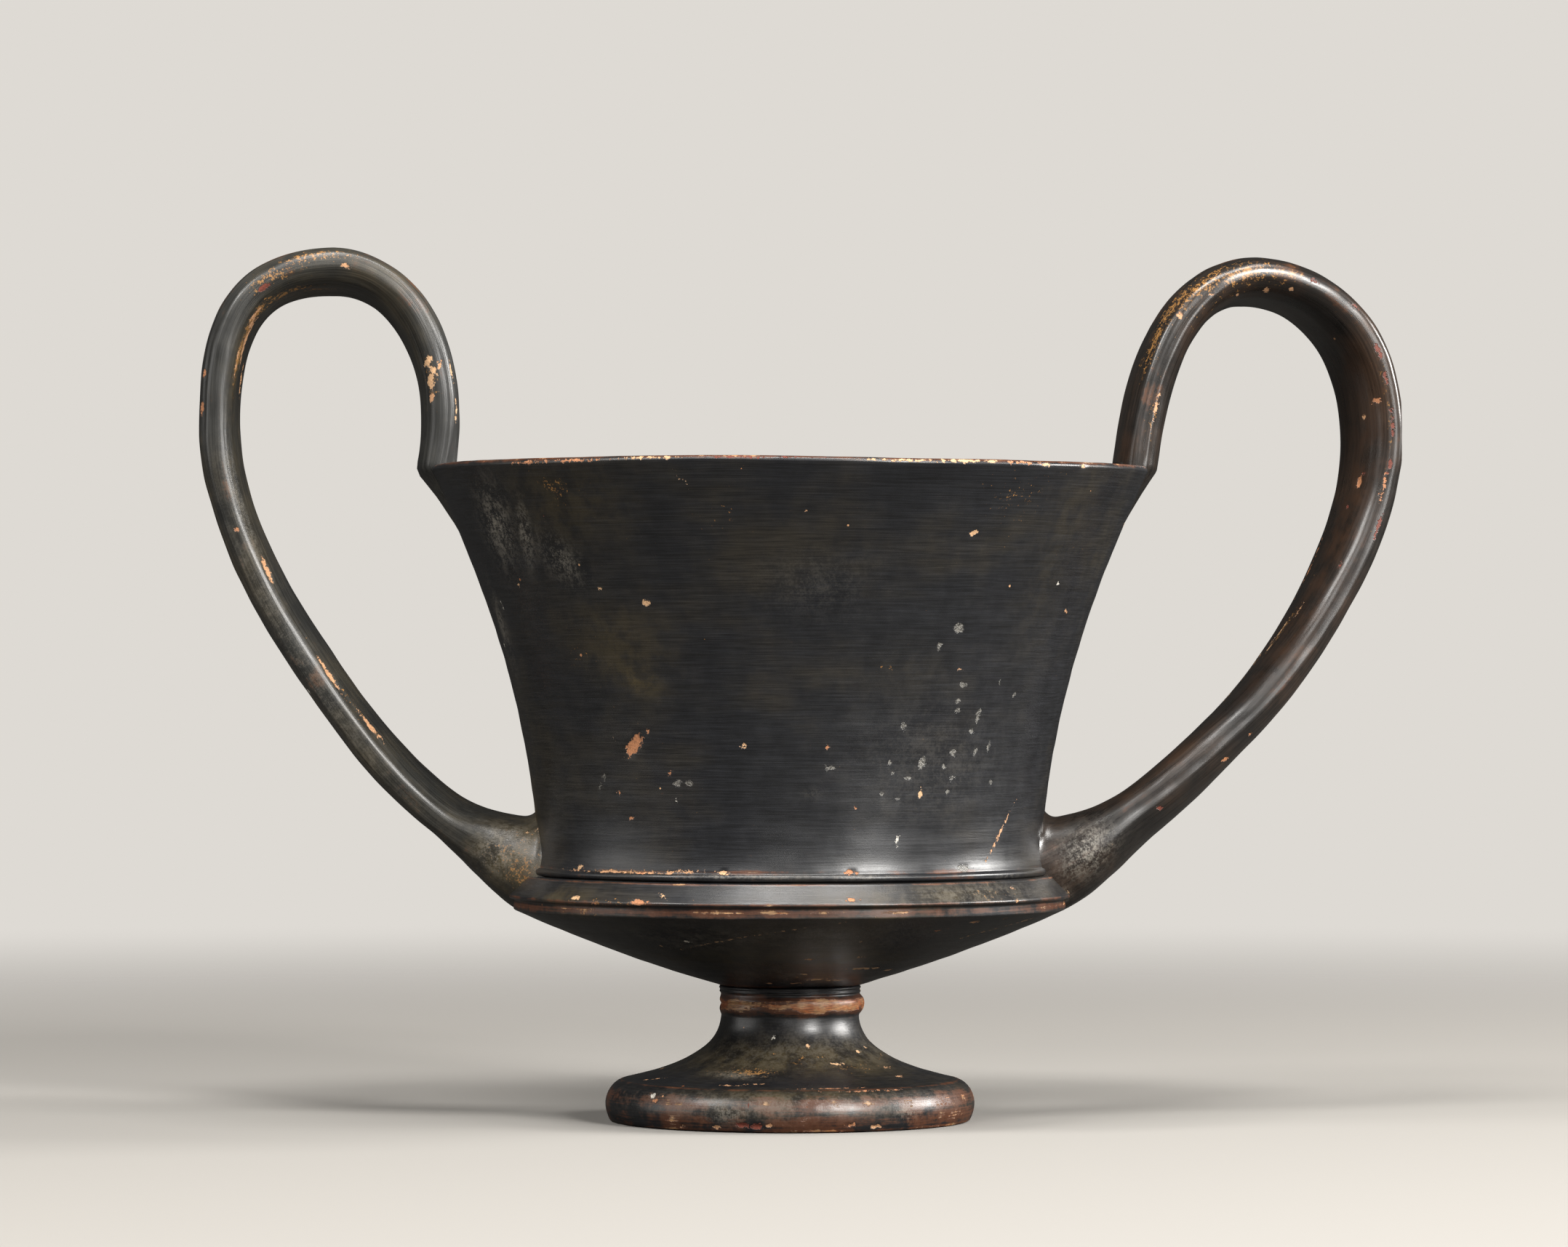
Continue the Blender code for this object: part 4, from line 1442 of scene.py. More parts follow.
@dataclass
class Foot(TurnedPart):
    """The spreading foot with its hollow, the stem, the ring on it and the short neck."""

    name: str = "foot"
    row_count: int = 190
    column_count: int = 480
    seed: int = 37
    marks: tuple[Mark, ...] = FOOT_MARKS
    clouds: tuple[Cloud, ...] = FOOT_CLOUDS
    throwing_mm: float = 0.018
    front_bias: float = 0.35

    # How deep the stem's ring is pressed in on the left, and how far up and down that reaches
    PRESSED_DEEP = 0.0015
    PRESSED_REACH = 0.0019

    def strokes(self) -> list[Stroke]:
        """The hollow, the resting ring, the foot's edge, the cone, the stem, the ring and the neck.

        Returns:
            The parts in that order.
        """
        s = self.sizes
        rim = s.foot_radius - s.foot_edge_inset - s.rest_width
        top = (s.hollow_top_radius, s.hollow_height)
        hollow = bezier(top, (s.hollow_top_radius * 1.9, s.hollow_height * 0.55),
                        (rim * 0.86, s.hollow_height * 0.35), (rim, 0.0), 50)
        hollow = np.vstack([[(0.0, s.hollow_height)], hollow])
        base = (s.foot_radius - s.foot_edge_inset, 0.0)
        rest = np.array([(rim, 0.0), base])
        crease = (s.foot_crease_radius, s.foot_edge_height + HAIR)
        belly = (s.foot_radius, s.foot_belly_height)
        edge = np.vstack([
            bezier(base, (base[0] + 0.0004, belly[1] * 0.18), (belly[0], belly[1] * 0.55), belly, 30),
            bezier(belly, (belly[0], belly[1] * 1.45), (belly[0] - 0.0011, s.foot_edge_height * 0.90),
                   crease, 40)])
        stem_top = (s.stem_radius, s.ring_base_z)
        cone = bezier(crease, (s.stem_radius + s.stem_spread, s.foot_edge_height + s.stem_height * 0.23),
                      (s.stem_radius, s.foot_edge_height + s.stem_height * 0.57), stem_top, 60)
        belly = (s.stem_radius + s.ring_proud, s.ring_base_z + s.ring_belly_height)
        ring = np.vstack([
            bezier(stem_top, (stem_top[0] + 2 * HAIR, belly[1] - 0.0024), (belly[0], belly[1] - 0.0017),
                   belly, 26),
            bezier(belly, (belly[0], belly[1] + 0.0015), (s.neck_radius + 0.0003, belly[1] + 0.0017),
                   (s.neck_radius, belly[1] + 0.0025), 26)])
        # Two rough little fillets of slip crowd the neck
        high = s.neck_top_z - HAIR
        neck = np.stack([s.neck_radius + s.neck_fillet * np.array([0.0, 1.0, 0.0, 1.0, 0.0]),
                         np.linspace(ring[-1, 1], high, 5)], axis=1)
        closing = np.array([(s.neck_radius, high), (0.0, high)])
        return [Stroke(hollow, 0.45, False), Stroke(rest, 0.6, False), Stroke(edge, 1.3), Stroke(cone, 1.0),
                Stroke(ring, 1.5), Stroke(neck, 1.5), Stroke(closing, 0.12, False)]

    def rubs(self) -> list[Rub]:
        """The foot's edge from its widest line down, its upper crease, the ring, and the rest."""
        s = self.sizes
        return [Rub(s.foot_radius, s.foot_edge_height * 0.68, 2.0, 0.58),
                Rub(s.foot_radius, s.foot_edge_height * 0.25, 2.4, 0.48),
                Rub(s.foot_radius - s.foot_edge_inset, 0.0, 1.2, 0.56),
                Rub(s.foot_crease_radius, s.foot_edge_height, 0.5, 0.46),
                Rub(s.stem_radius + s.ring_proud, s.ring_base_z + s.ring_belly_height, 2.0, 1.0),
                Rub(s.foot_radius - s.foot_edge_inset - s.rest_width / 2, 0.0, 2.6, 0.80)]

    def unevenness(self, chart: Chart) -> np.ndarray:
        """The common unevenness, and the ring of the stem pressed flat towards the left.

        Args:
            chart: the surface as turned.

        Returns:
            Metres outwards for each point.
        """
        s = self.sizes
        away = (chart.points[..., 2] - s.ring_base_z - s.ring_belly_height) / self.PRESSED_REACH
        left = ((1.0 - np.sin(chart.ring)) / 2.0) ** 1.5
        pressed = self.PRESSED_DEEP * np.exp(-away ** 2) * left * (chart.radius > s.neck_radius * 0.97)
        return super().unevenness(chart) - pressed


@dataclass(frozen=True)
class StrapLine:
    """Centreline and lie of one strap. The centreline is the solid's, and the section is finer.

    It crosses the lip at lip_inset inside the rim. Reaches are measured outward from there, rises
    and drops from the rim, and root_rise from the sharp edge. Angles are degrees.
    """

    side: float
    thickness: float
    arch_thickness: float
    lip_inset: float
    lip_lean: float
    lip_pull: float
    arch_out: float
    arch_rise: float
    arch_pull_in: float
    arch_pull_out: float
    swing_out: float
    swing_rise: float
    swing_pull_up: float
    swing_pull_down: float
    elbow_out: float
    elbow_drop: float
    elbow_angle: float
    elbow_pull_up: float
    elbow_pull_down: float
    root_rise: float
    root_pull: float
    root_angle: float
    yaw: float
    twist_at_arch: float
    twist_at_swing: float
    twist_at_root: float
    low_thickness: float
    width: float = 0.0220
    squareness: float = 3.2
    tongue_length: float = 0.0240
    tongue_width: float = 0.0150
    tongue_thickness: float = 0.0012
    tongue_ease: float = 1.8
    root_embed: float = 0.0016
    root_width: float = 0.0430
    root_shift: float = 0.0035
    root_thickness: float = 0.0240
    root_squareness: float = 2.2
    root_length: float = 0.0300


LEFT_LINE = StrapLine(
    side=-1.0, thickness=0.0094, arch_thickness=0.0100, lip_inset=0.0015, lip_lean=-11.3,
    lip_pull=0.0252, arch_out=0.0259, arch_rise=0.0493, arch_pull_in=0.0197, arch_pull_out=0.0228,
    swing_out=0.0546, swing_rise=0.0107, swing_pull_up=0.0232, swing_pull_down=0.0278,
    elbow_out=0.0205, elbow_drop=0.0642, elbow_angle=52.9, elbow_pull_up=0.0223,
    elbow_pull_down=0.0191, root_rise=0.0068, root_pull=0.0270, root_angle=24.0, yaw=3.0,
    twist_at_arch=12.0, twist_at_swing=7.0, twist_at_root=16.0, squareness=2.6, low_thickness=0.0092,
)
RIGHT_LINE = StrapLine(
    side=1.0, thickness=0.0104, arch_thickness=0.0108, lip_inset=0.0038, lip_lean=6.6,
    lip_pull=0.0236, arch_out=0.0298, arch_rise=0.0473, arch_pull_in=0.0190, arch_pull_out=0.0125,
    swing_out=0.0625, swing_rise=0.0078, swing_pull_up=0.0305, swing_pull_down=0.0247,
    elbow_out=0.0246, elbow_drop=0.0664, elbow_angle=44.3, elbow_pull_up=0.0257,
    elbow_pull_down=0.0129, root_rise=0.0072, root_pull=0.0210, root_angle=14.0, yaw=-14.0,
    twist_at_arch=12.0, twist_at_swing=5.0, twist_at_root=-30.0, squareness=2.3, low_thickness=0.0132,
    root_width=0.0240,
)

LEFT_MARKS = Mark.listed(
    (Flaw.FLECK, Tone.CREAM, (592, 524, 4, 1.9, 70), (596, 510, 2.6, 1.4, 110),
     (589, 496, 3.2, 1.7, 40), (620, 508, 4, 0.7, 90), (627, 568, 4, 0.6, 90),
     (745, 1138, 10, 0.5, 100)),
    (Flaw.FLECK, Tone.OCHRE, (594, 545, 3, 1.4, 80), (604, 502, 2.4, 1, 60),
     (337, 470, 13, 1.7, 95), (331, 520, 8, 1.2, 90), (352, 430, 6, 1.1, 80),
     (509, 998, 9, 1.5, 90), (474, 366, 2.4, 1, 90), (436, 397, 6, 0.8, 90),
     (326, 496, 7, 1, 90), (345, 445, 5, 0.9, 90), (729, 1217, 2, 1, 30)),
    (Flaw.CHIP, Tone.OCHRE, (368, 785, 6.2, 1.7, 90), (455, 931, 9, 1.2, 90)),
    (Flaw.FLECK, Tone.ORANGE, (326, 728, 1.2, 1), (278, 560, 3, 1.6, 90), (281, 514, 2, 1.2, 90)),
    (Flaw.FLECK, Tone.WHITE, (425, 950, 1, 0.9)),
    (Flaw.FLECK, Tone.RED, (362, 396, 3, 1.4, 90)),
)

# The two long bloom rows along the runs, at 330, 700 and 420, 920, are partly pale bloom and partly painted
# highlight along the lit middle of the strap's edge
LEFT_CLOUDS = Cloud.listed(
    (Stain.OCHRE, (1, 330, 480, 34, 4.5, 90), (1, 352, 432, 22, 5, 90),
     (0.9, 392, 404, 24, 5, 90), (0.9, 440, 398, 20, 3, 90), (0.85, 430, 350, 26, 5, 90),
     (0.8, 372, 380, 20, 6, 90), (0.6, 590, 520, 18, 7, 90), (0.5, 480, 960, 40, 5, 90),
     (0.8, 716, 1196, 13, 10), (0.9, 733, 1218, 6, 5), (0.7, 742, 1150, 12, 3, 90),
     (0.55, 706, 1176, 18, 18)),
    (Stain.BLOOM_AND_HIGHLIGHT, (0.9, 692, 1166, 15, 12), (0.4, 330, 700, 40, 5, 90),
     (0.25, 420, 920, 90, 8, 90)),
    (Stain.MISFIRE, (0.95, 712, 1178, 22, 22), (0.4, 330, 480, 60, 7, 90)),
)

RIGHT_MARKS = Mark.listed(
    (Flaw.CHIP, Tone.ORANGE, (1868, 663, 3.2, 2.2, 90)),
    (Flaw.FLECK, Tone.RED, (1876, 650, 1.2, 1), (1853, 697, 1.2, 0.8), (1806, 385, 2.2, 0.9, 90),
     (1863, 422, 1.8, 0.8, 90), (1895, 482, 3.4, 1.3, 90), (1905, 520, 2.8, 0.9, 90),
     (1915, 585, 5, 0.8, 90), (1911, 640, 2.6, 0.6, 90), (1894, 728, 4, 0.6, 90),
     (1842, 777, 1.6, 0.9, 90), (1594, 1111, 1.1, 0.9)),
    (Flaw.FLECK, Tone.ORANGE, (1893, 552, 2.4, 1.5), (1812, 757, 7, 0.6, 90),
     (1799, 787, 7, 0.7, 90), (1785, 815, 6, 0.6, 90), (1901, 674, 5, 0.8, 90),
     (1719, 1009, 1, 0.8), (1686, 1044, 2.2, 1.1, 60)),
    (Flaw.FLECK, Tone.OCHRE, (1875, 574, 1.6, 1.2), (1623, 434, 1.4, 1.2), (1667, 405, 1.1, 0.8),
     (1702, 405, 1.1, 0.8), (1741, 399, 1.8, 1.2), (1776, 399, 1, 0.8), (1590, 560, 5, 0.9, 90),
     (1787, 838, 3.4, 0.5, 90), (1757, 872, 3, 0.6, 70), (1728, 908, 4, 0.5, 90),
     (1702, 940, 5, 0.5, 90)),
    (Flaw.FLECK, Tone.CREAM, (1763, 864, 5.4, 0.8, 95), (1746, 889, 2.6, 1.5, 80),
     (1682, 963, 4, 0.7, 90), (1462, 1231, 3, 1.3, 90)),
)

# The two strong bloom rows at the root, at 1496, 1168 and 1480, 1188, are partly streaky pale bloom and
# partly painted highlight on the lit face of the root
RIGHT_CLOUDS = Cloud.listed(
    (Stain.OCHRE, (0.9, 1586, 474, 24, 7, 90), (0.9, 1612, 424, 24, 7.5, 90),
     (0.9, 1654, 390, 26, 7.5, 90), (0.9, 1712, 374, 28, 7.5, 90),
     (0.8, 1765, 374, 16, 6, 90), (0.5, 1700, 396, 44, 7, 90),
     (0.6, 1585, 570, 24, 3, 90), (0.5, 1910, 560, 60, 3, 90),
     (0.9, 1764, 866, 22, 3.4, 90), (0.7, 1712, 930, 34, 2, 90)),
    (Stain.BLOOM_AND_HIGHLIGHT, (1, 1496, 1168, 11, 12), (0.6, 1480, 1188, 8, 8), (0.5, 1462, 1232, 6, 4)),
    (Stain.MISFIRE, (0.6, 1440, 1180, 18, 8), (0.8, 1862, 690, 90, 16, 90),
     (0.6, 1800, 850, 60, 10, 90), (0.5, 1700, 400, 50, 12, 90),
     (0.7, 1545, 628, 14, 8, 90)),
)


@dataclass(frozen=True)
class Flute:
    """A trough that a fingertip drew along the near edge of a strap, in millimetres.

    Place is how far it lies to the loop's outer side of the edge's middle. It lasts from start to
    stop along the run and fades at both.
    """

    place: float
    breadth: float
    depth: float
    start: float
    stop: float
    fade: float = 9.0


LEFT_FLUTES = (
    Flute(2.6, 1.5, 0.22, 95.0, 190.0),
    Flute(-2.4, 1.3, 0.16, 60.0, 130.0),
    Flute(1.2, 1.0, 0.14, 22.0, 60.0),
)
RIGHT_FLUTES = (
    Flute(-0.1, 2.6, 0.50, 22.0, 78.0),
    Flute(-2.3, 0.9, 0.18, 24.0, 58.0),
    Flute(4.0, 1.6, 0.30, 22.0, 84.0),
)


@dataclass
class StrapHandle:
    """A pulled strap handle, from the tongue smeared on the wall over the arch to its root."""

    sizes: CupSizes
    sight: Sight
    line: StrapLine
    name: str
    marks: tuple[Mark, ...]
    clouds: tuple[Cloud, ...]
    flutes: tuple[Flute, ...]
    sides: int = 72
    tongue_rings: int = 56
    rise_rings: int = 130
    arch_rings: int = 170
    swing_rings: int = 150
    root_rings: int = 150
    seed: int = 51
    # Height of the ridges that the pulling fingers leave along the strap, in millimetres
    striation_mm: float = 0.035
    fillet_mm: float = 3.4
    # The root and its corner lie lower than this under the rim
    root_below: float = 0.060
    hidden_marks: int = 26

    # Lengths, shares, drifts and starts of the ridges, and the length of the drift that bends them
    RIDGES_MM = ((3.4, 1.0, 0.8, 0.0), (1.9, 0.55, -1.1, 1.0))
    DRIFT_MM = 70.0
    # Lengths and heights of the lumps
    LUMPS_MM = ((24.0, 0.072), (8.0, 0.028))

    def stations(self) -> tuple[np.ndarray, np.ndarray]:
        """Centres and section sizes of the rings, from the tongue to the root.

        Each stretch is a cubic curve between named places. Sizes are thickness, width, twist, share
        of the yaw, and squareness, and change evenly along a stretch.

        Returns:
            Centres as radius and height, and the five sizes for each.
        """
        s, h = self.sizes, self.line
        thin = np.array([h.tongue_thickness, h.tongue_width, 0.0, 0.0, 2.0])
        full = np.array([h.thickness, h.width, 0.0, 0.5, h.squareness])
        share = np.linspace(0.0, 1.0, self.tongue_rings + 1)
        z = s.rim_z - h.tongue_length * (1.0 - share)
        middle = s.wall_radius(z) - s.wall_thickness(z) / 2
        offset = s.wall_at_lip / 2 - h.lip_inset
        centres = [np.stack([middle + offset * share * share, z], axis=1)]
        grown = thin + (full - thin) * (share ** h.tongue_ease)[:, None]
        grown[:, 1] = h.tongue_width + (h.width - h.tongue_width) * share
        sizes = [grown]

        lip = (s.rim_radius - h.lip_inset, s.rim_z)
        arch = (lip[0] + h.arch_out, s.rim_z + h.arch_rise)
        swing = (lip[0] + h.swing_out, s.rim_z + h.swing_rise)
        elbow = (lip[0] + h.elbow_out, s.rim_z - h.elbow_drop)
        root = (s.waist_radius - h.root_embed, s.edge_z + h.root_rise)
        lean, bend, climb = (math.radians(a) for a in (h.lip_lean, h.elbow_angle, h.root_angle))
        at_lip = full
        at_arch = np.array([h.arch_thickness, h.width, math.radians(h.twist_at_arch), 1.0, h.squareness])
        at_swing = np.array([h.thickness, h.width, math.radians(h.twist_at_swing), 1.0, h.squareness])
        at_root = np.array([h.low_thickness, h.width, math.radians(h.twist_at_root), 1.0, h.squareness])
        at_elbow = (at_swing + at_root) / 2
        stretches = (
            (lip, (lip[0] + math.sin(lean) * h.lip_pull, lip[1] + math.cos(lean) * h.lip_pull),
             (arch[0] - h.arch_pull_in, arch[1]), arch, self.rise_rings, at_lip, at_arch),
            (arch, (arch[0] + h.arch_pull_out, arch[1]),
             (swing[0], swing[1] + h.swing_pull_up), swing, self.arch_rings, at_arch, at_swing),
            (swing, (swing[0], swing[1] - h.swing_pull_down),
             (elbow[0] + math.cos(bend) * h.elbow_pull_up, elbow[1] + math.sin(bend) * h.elbow_pull_up),
             elbow, self.swing_rings, at_swing, at_elbow),
            (elbow, (elbow[0] - math.cos(bend) * h.elbow_pull_down,
                     elbow[1] - math.sin(bend) * h.elbow_pull_down),
             (root[0] + math.cos(climb) * h.root_pull, root[1] + math.sin(climb) * h.root_pull),
             root, self.root_rings, at_elbow, at_root),
        )
        for start, pull_start, pull_end, end, rings, first, last in stretches:
            centres.append(bezier(start, pull_start, pull_end, end, rings + 1)[1:])
            part = np.linspace(0.0, 1.0, rings + 1)[1:, None]
            sizes.append(first + (last - first) * part)
        centre, size = np.vstack(centres), np.vstack(sizes)
        flare = np.array([h.root_thickness, h.root_width, 0.0, 0.0, h.root_squareness])
        closeness = 1.0 - np.linalg.norm(centre - root, axis=1) / h.root_length
        near = smooth_step(closeness)
        near[:-(self.swing_rings + self.root_rings)] = 0.0
        shares = np.repeat(near[:, None], 5, axis=1)
        # The sides flare late, as clay that is smoothed onto the wall
        shares[:, 1] = np.clip(closeness, 0.0, 1.0) ** 3
        return centre, size + (flare - size) * shares * (near[:, None] > 0.0)

    def chart(self) -> Chart:
        """Carry the section along the centreline and wrap it round the cup's axis.

        The section is a squared-off ellipse: cosine and sine with their sizes raised to two over the
        squareness. The twist turns it in its plane, the yaw swings the loop sideways about the lip.

        Returns:
            The surface, before the clay's unevenness.
        """
        s, h = self.sizes, self.line
        centre, size = self.stations()
        tangent = np.gradient(centre, axis=0)
        tangent[-1] = (-1.0, 0.0)
        tangent /= np.linalg.norm(tangent, axis=1, keepdims=True)
        outward = np.stack([-tangent[:, 1], tangent[:, 0]], axis=1)
        swing = -math.tan(math.radians(h.yaw))
        shift = (centre[:, 0] - s.rim_radius + h.lip_inset) * swing
        shift = np.where(shift < 0.0, h.root_shift * np.tanh(shift / h.root_shift), shift)
        turn = h.side * math.tau * np.arange(self.sides) / self.sides
        thickness, width, twist, yawed, squareness = (column[:, None] for column in size.T)
        power = 2.0 / squareness
        across = np.sign(np.cos(turn)) * np.abs(np.cos(turn)) ** power * width / 2
        over = np.sign(np.sin(turn)) * np.abs(np.sin(turn)) ** power * thickness / 2
        lateral = across * np.cos(twist) + over * np.sin(twist)
        lift = over * np.cos(twist) - across * np.sin(twist)
        radius = centre[:, :1] + outward[:, :1] * lift - lateral * swing * yawed
        angle = (lateral + shift[:, None]) / radius
        points = np.stack([self.sight.axis_x + h.side * radius * np.cos(angle), radius * np.sin(angle),
                           centre[:, 1:] + outward[:, 1:] * lift], axis=-1)
        step = np.linalg.norm(np.roll(points, -1, axis=1) - points, axis=-1)
        around = np.cumsum(step, axis=1) - step
        perimeter = step.sum(axis=1, keepdims=True)
        along = np.concatenate([[0.0], np.cumsum(np.linalg.norm(np.diff(centre, axis=0), axis=1))])
        run = np.repeat(along[:, None], self.sides, axis=1)
        ring = around / perimeter * math.tau
        radius_of_ring = np.repeat(perimeter / math.tau, self.sides, axis=1)
        self.across, self.over = across, over
        self.sideways = across / (width / 2)
        self.outward = over / (thickness / 2)
        return Chart(points, ring, radius_of_ring, run, np.ones_like(run, dtype=bool))

    def striations(self, chart: Chart) -> np.ndarray:
        """Ridges along the strap: waves of the place across the section that drift with the run.

        Args:
            chart: the smooth surface.

        Returns:
            Metres outwards for each point, flutes and lumps included.
        """
        still = np.zeros_like(chart.run)
        drift = Ripple(self.DRIFT_MM, self.seed)(np.stack([chart.run, still, still], axis=-1))
        place = self.across + 0.5 * self.over
        height = np.zeros_like(chart.run)
        for length, share, bend, start in self.RIDGES_MM:
            phase = math.tau * place / (length * MM) + bend * drift + start
            height += self.striation_mm * share * np.sin(phase)
        for number, (length, size) in enumerate(self.LUMPS_MM, start=1):
            height += size * Ripple(length, self.seed + number)(chart.points)
        near = smooth_step((-self.sideways - 0.35) / 0.4)
        run = chart.run / MM
        for flute in self.flutes:
            away = (self.over / MM - flute.place) / (flute.breadth / 2)
            begun = smooth_step((run - flute.start) / flute.fade)
            lasting = smooth_step((flute.stop - run) / flute.fade)
            height -= flute.depth * np.exp(-away ** 2) * near * begun * lasting
        return height * MM

    def fillet(self, chart: Chart) -> np.ndarray:
        """Clay smoothed into the corner between the root and the wall, as a quarter circle.

        The height is the fillet's radius less the root of its square less the square of what is left
        of the radius at that distance from the wall. The lower side has none.

        Args:
            chart: the smooth surface.

        Returns:
            Metres outwards for each point.
        """
        s = self.sizes
        x, y, z = np.moveaxis(chart.points, -1, 0)
        away = np.hypot(x - self.sight.axis_x, y) - s.wall_radius(np.maximum(z, s.waist_z))
        reach = self.fillet_mm * MM
        left = reach - np.clip(away, 0.0, reach)
        height = reach - np.sqrt(np.maximum(reach ** 2 - left ** 2, 0.0))
        upper = smooth_step(-self.outward / 0.7) * (1.0 - np.abs(self.sideways) ** 2)
        below_lip = smooth_step((s.rim_z - self.root_below - z) / 0.010)
        return height * upper * below_lip

    def tuck(self, chart: Chart) -> None:
        """Hold the root's hidden end in the middle of the wall, clear of the inside of the bowl.

        Args:
            chart: the surface, which is moved.
        """
        s = self.sizes
        middle = np.array([self.sight.axis_x, 0.0])
        reach = chart.points[..., :2] - middle
        radius = np.linalg.norm(reach, axis=-1)
        height = chart.points[..., 2]
        wall_z = np.maximum(height, s.waist_z)
        least = s.wall_radius(wall_z) - s.wall_thickness(wall_z) * 0.6
        buried = (height < s.rim_z - self.root_below) & (radius < least)
        growth = np.where(buried, least / radius, 1.0)
        chart.points[..., :2] = middle + reach * growth[..., None]
        chart.lift(np.zeros_like(radius))

    def rubbed(self, chart: Chart) -> np.ndarray:
        """Wear on the rounded edges of the strap and over the top of its arch.

        Args:
            chart: the surface.

        Returns:
            Wear of each point, 0 to 1.
        """
        edge = np.abs(self.sideways) ** 6
        top = smooth_step((chart.points[..., 2] - self.sizes.rim_z) / 0.045)
        outer = np.clip(self.outward, 0.0, 1.0) ** 2
        patches = Ripple(18.0, self.seed + 3)(chart.points)
        wear = 0.10 * edge + 0.18 * top * outer + 0.04
        return np.clip(wear * (1.0 + 0.6 * patches), 0.0, 1.0)

    def build(self, material: bpy.types.Material) -> bpy.types.Object:
        """Build the piece and dress it.

        Args:
            material: the slip.

        Returns:
            The closed mesh, riding on the cup's body.
        """
        chart = self.chart()
        chart.lift(self.fillet(chart))
        chart.lift(self.striations(chart))
        self.tuck(chart)
        weather = Weather(chart, self.sight)
        weather.read(self.marks, self.clouds)
        behind = (chart.normals[..., 1] > 0.1) & (chart.points[..., 2] > self.sizes.waist_z)
        weather.scatter(self.hidden_marks, self.seed + 4, behind)
        chart.lift(-weather.depth)
        fields = {"lay": np.stack([chart.run, self.across, self.over], axis=-1),
                  "stains": weather.stains, "rubbed": self.rubbed(chart),
                  "flaws": np.stack([weather.loss, weather.pit, weather.tone], axis=-1)}
        ends = (chart.points[0].mean(axis=0), chart.points[-1].mean(axis=0))
        piece = closed_mesh(self.name, chart, ends, fields)
        return settle(piece, material)


@dataclass(frozen=True)
class Softbox:
    """One soft area light, aimed at the cup."""

    name: str
    place: tuple[float, float, float]
    size: tuple[float, float]
    power: float
    aim: tuple[float, float, float] = (0.0, 0.0, 0.10)
    colour: tuple[float, float, float] = (1.0, 0.98, 0.95)

    def hang(self) -> bpy.types.Object:
        """Make the light and point it.

        Returns:
            The light, hidden from the camera.
        """
        data = bpy.data.lights.new(self.name, "AREA")
        data.shape = "RECTANGLE"
        data.size, data.size_y = self.size
        data.energy = self.power
        data.color = self.colour
        made = bpy.data.objects.new(self.name, data)
        made.location = self.place
        made.rotation_euler = (Vector(self.aim) - Vector(self.place)).to_track_quat("-Z", "Y").to_euler()
        made.visible_camera = False
        bpy.context.scene.collection.objects.link(made)
        return made


LIGHTS = (
    Softbox("overhead_left", (-0.20, -0.60, 1.45), (0.40, 0.35), 13.0),
    Softbox("overhead_right", (0.40, -0.52, 1.35), (0.50, 0.35), 11.0),
    Softbox("upper_left", (-0.50, -1.35, 1.02), (0.60, 0.35), 5.5),
    Softbox("far_left", (-1.28, -0.74, 1.28), (0.40, 0.40), 15.0),
    Softbox("front_low", (-0.10, -1.78, 0.30), (0.16, 0.26), 1.5),
    Softbox("key_right", (0.88, -1.18, 0.75), (0.36, 0.36), 30.0),
    Softbox("low_right", (0.90, -1.22, 0.16), (0.22, 0.35), 2.8),
    Softbox("side_right", (1.43, 0.12, 0.56), (0.52, 0.42), 28.0),
    Softbox("side_left", (-1.42, -0.25, 0.32), (0.90, 0.50), 3.0),
)


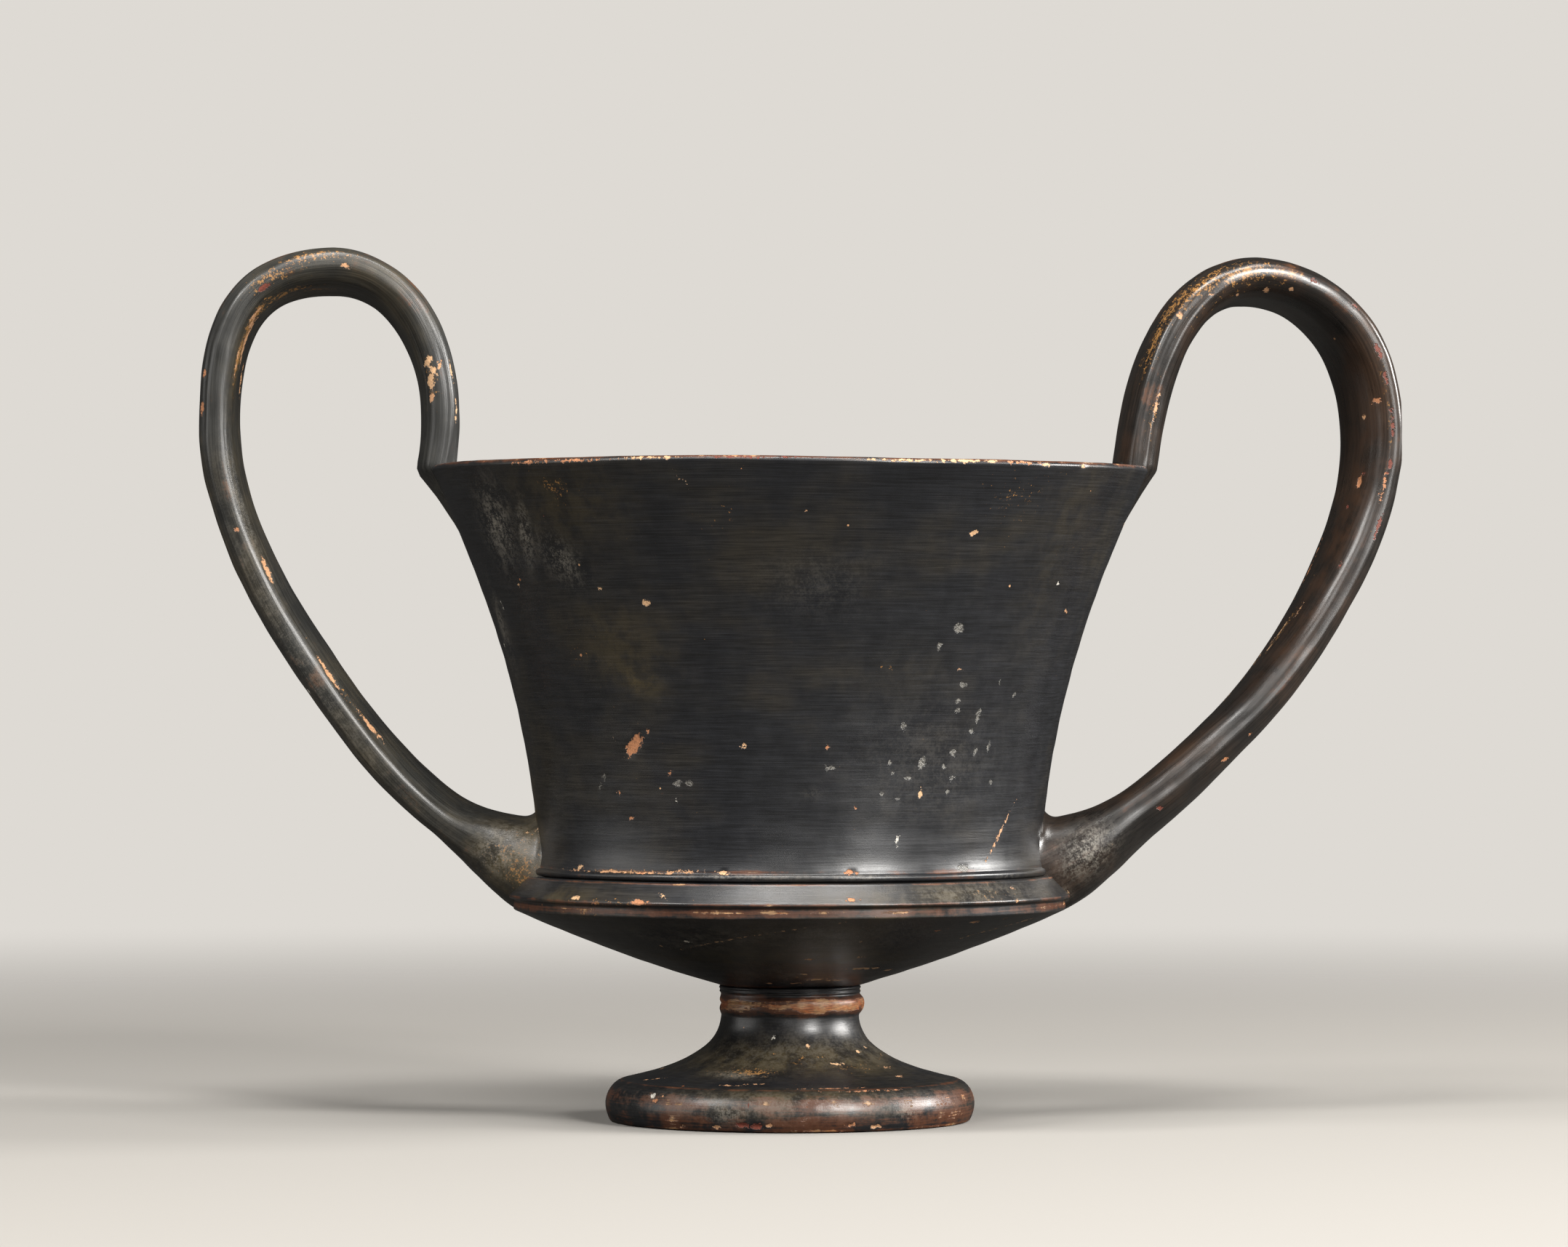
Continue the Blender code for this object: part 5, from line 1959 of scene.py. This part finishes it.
@dataclass(frozen=True)
class Studio:
    """Plain pale floor that fades into a pale surround, and the soft lights.

    The cup is a dark mirror. So that the pale room doesn't veil its black, the floor and surround
    are pale to the eye and dark in the cup's reflections.
    """

    floor_radius: float = 1.4
    fade_from: float = 0.30
    fade_to: float = 1.20
    pale: str = "#dedad4"
    dark_share: float = 0.06
    board_share: float = 0.43
    board_mirrored: float = 0.20
    corners: int = 96
    gap: float = 0.0002

    def floor(self) -> bpy.types.Object:
        """A flat disc just under the foot: corner points on a circle, joined to the middle.

        Returns:
            The floor, staged.
        """
        turn = math.tau * np.arange(self.corners) / self.corners
        rim = np.stack([self.floor_radius * np.cos(turn), self.floor_radius * np.sin(turn),
                        np.full(self.corners, -self.gap)], axis=1)
        corners = np.vstack([rim, (0.0, 0.0, -self.gap)])
        faces = [(self.corners, i, (i + 1) % self.corners) for i in range(self.corners)]
        data = bpy.data.meshes.new("floor")
        data.from_pydata(corners.tolist(), [], faces)
        data.materials.append(self.floor_material())
        made = bpy.data.objects.new("floor", data)
        bpy.context.scene.collection.objects.link(made)
        return made

    def floor_material(self) -> bpy.types.Material:
        """Matt pale board that is clear beyond its fade.

        Returns:
            The material: pale to the camera, dim in the cup's reflections.
        """
        material = bpy.data.materials.new("pale_board")
        material.use_nodes = True
        tree = material.node_tree
        tree.nodes.clear()
        place = add_node(tree, "ShaderNodeTexCoord").outputs["Object"]
        away = add_node(tree, "ShaderNodeVectorMath", {0: place}, operation="LENGTH")
        fade = add_node(tree, "ShaderNodeMapRange",
                        {"Value": away.outputs["Value"], "From Min": self.fade_from,
                         "From Max": self.fade_to}, interpolation_type="SMOOTHSTEP")
        eye = add_node(tree, "ShaderNodeLightPath").outputs["Is Camera Ray"]
        pale = tuple(c * self.board_share for c in linear_colour(self.pale)[:3]) + (1.0,)
        dark = tuple(c * self.board_mirrored for c in pale[:3]) + (1.0,)
        tone = add_node(tree, "ShaderNodeMix", {"Factor": eye, "A": dark, "B": pale}, data_type="RGBA")
        board = add_node(tree, "ShaderNodeBsdfDiffuse", {"Color": tone})
        clear = add_node(tree, "ShaderNodeBsdfTransparent")
        mixed = add_node(tree, "ShaderNodeMixShader", {0: fade, 1: board, 2: clear})
        add_node(tree, "ShaderNodeOutputMaterial", {"Surface": mixed})
        return material

    def surround(self) -> None:
        """Pale world to the eye, and a dim one for everything it lights."""
        world = bpy.data.worlds.new("pale_surround")
        world.use_nodes = True
        tree = world.node_tree
        tree.nodes.clear()
        eye = add_node(tree, "ShaderNodeLightPath").outputs["Is Camera Ray"]
        strength = add_node(tree, "ShaderNodeMapRange", {"Value": eye, "To Min": self.dark_share,
                                                         "To Max": 1.0})
        sky = add_node(tree, "ShaderNodeBackground", {"Color": linear_colour(self.pale),
                                                      "Strength": strength})
        add_node(tree, "ShaderNodeOutputWorld", {"Surface": sky})
        bpy.context.scene.world = world

    def build(self) -> None:
        """Lay the floor, hang the lights and set plain display of tones."""
        self.floor()
        self.surround()
        for light in LIGHTS:
            light.hang()
        bpy.context.scene.view_settings.view_transform = "Standard"


def cup_axis() -> float:
    """The x of the cup's axis: the middle of the solid's points that stand on the table.

    Returns:
        Metres from the frame's origin.
    """
    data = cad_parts[NODE].data
    co = np.empty(len(data.vertices) * 3, dtype=np.float32)
    data.vertices.foreach_get("co", co)
    co = co.reshape(-1, 3)
    standing = co[co[:, 2] < 0.0001]
    return float((standing[:, 0].min() + standing[:, 0].max()) / 2)


def main() -> None:
    """Build the camera, the studio and every piece, in order."""
    logging.basicConfig(level=logging.INFO, format="%(name)s %(message)s")
    sizes = CupSizes()
    sight = Sight(cup_axis())
    sight.camera()
    Studio().build()
    wheel = WHEEL_SLIP.dress()
    for part in (Bowl(sizes, sight), CarinatedBase(sizes, sight), Foot(sizes, sight)):
        part.build(wheel)
    StrapHandle(sizes, sight, LEFT_LINE, "left_handle", LEFT_MARKS, LEFT_CLOUDS, LEFT_FLUTES,
                seed=51, striation_mm=0.085).build(STRAP_SLIP.dress())
    StrapHandle(sizes, sight, RIGHT_LINE, "right_handle", RIGHT_MARKS, RIGHT_CLOUDS, RIGHT_FLUTES,
                seed=71).build(BROWN_SLIP.dress())


if __name__ == "__main__":
    main()
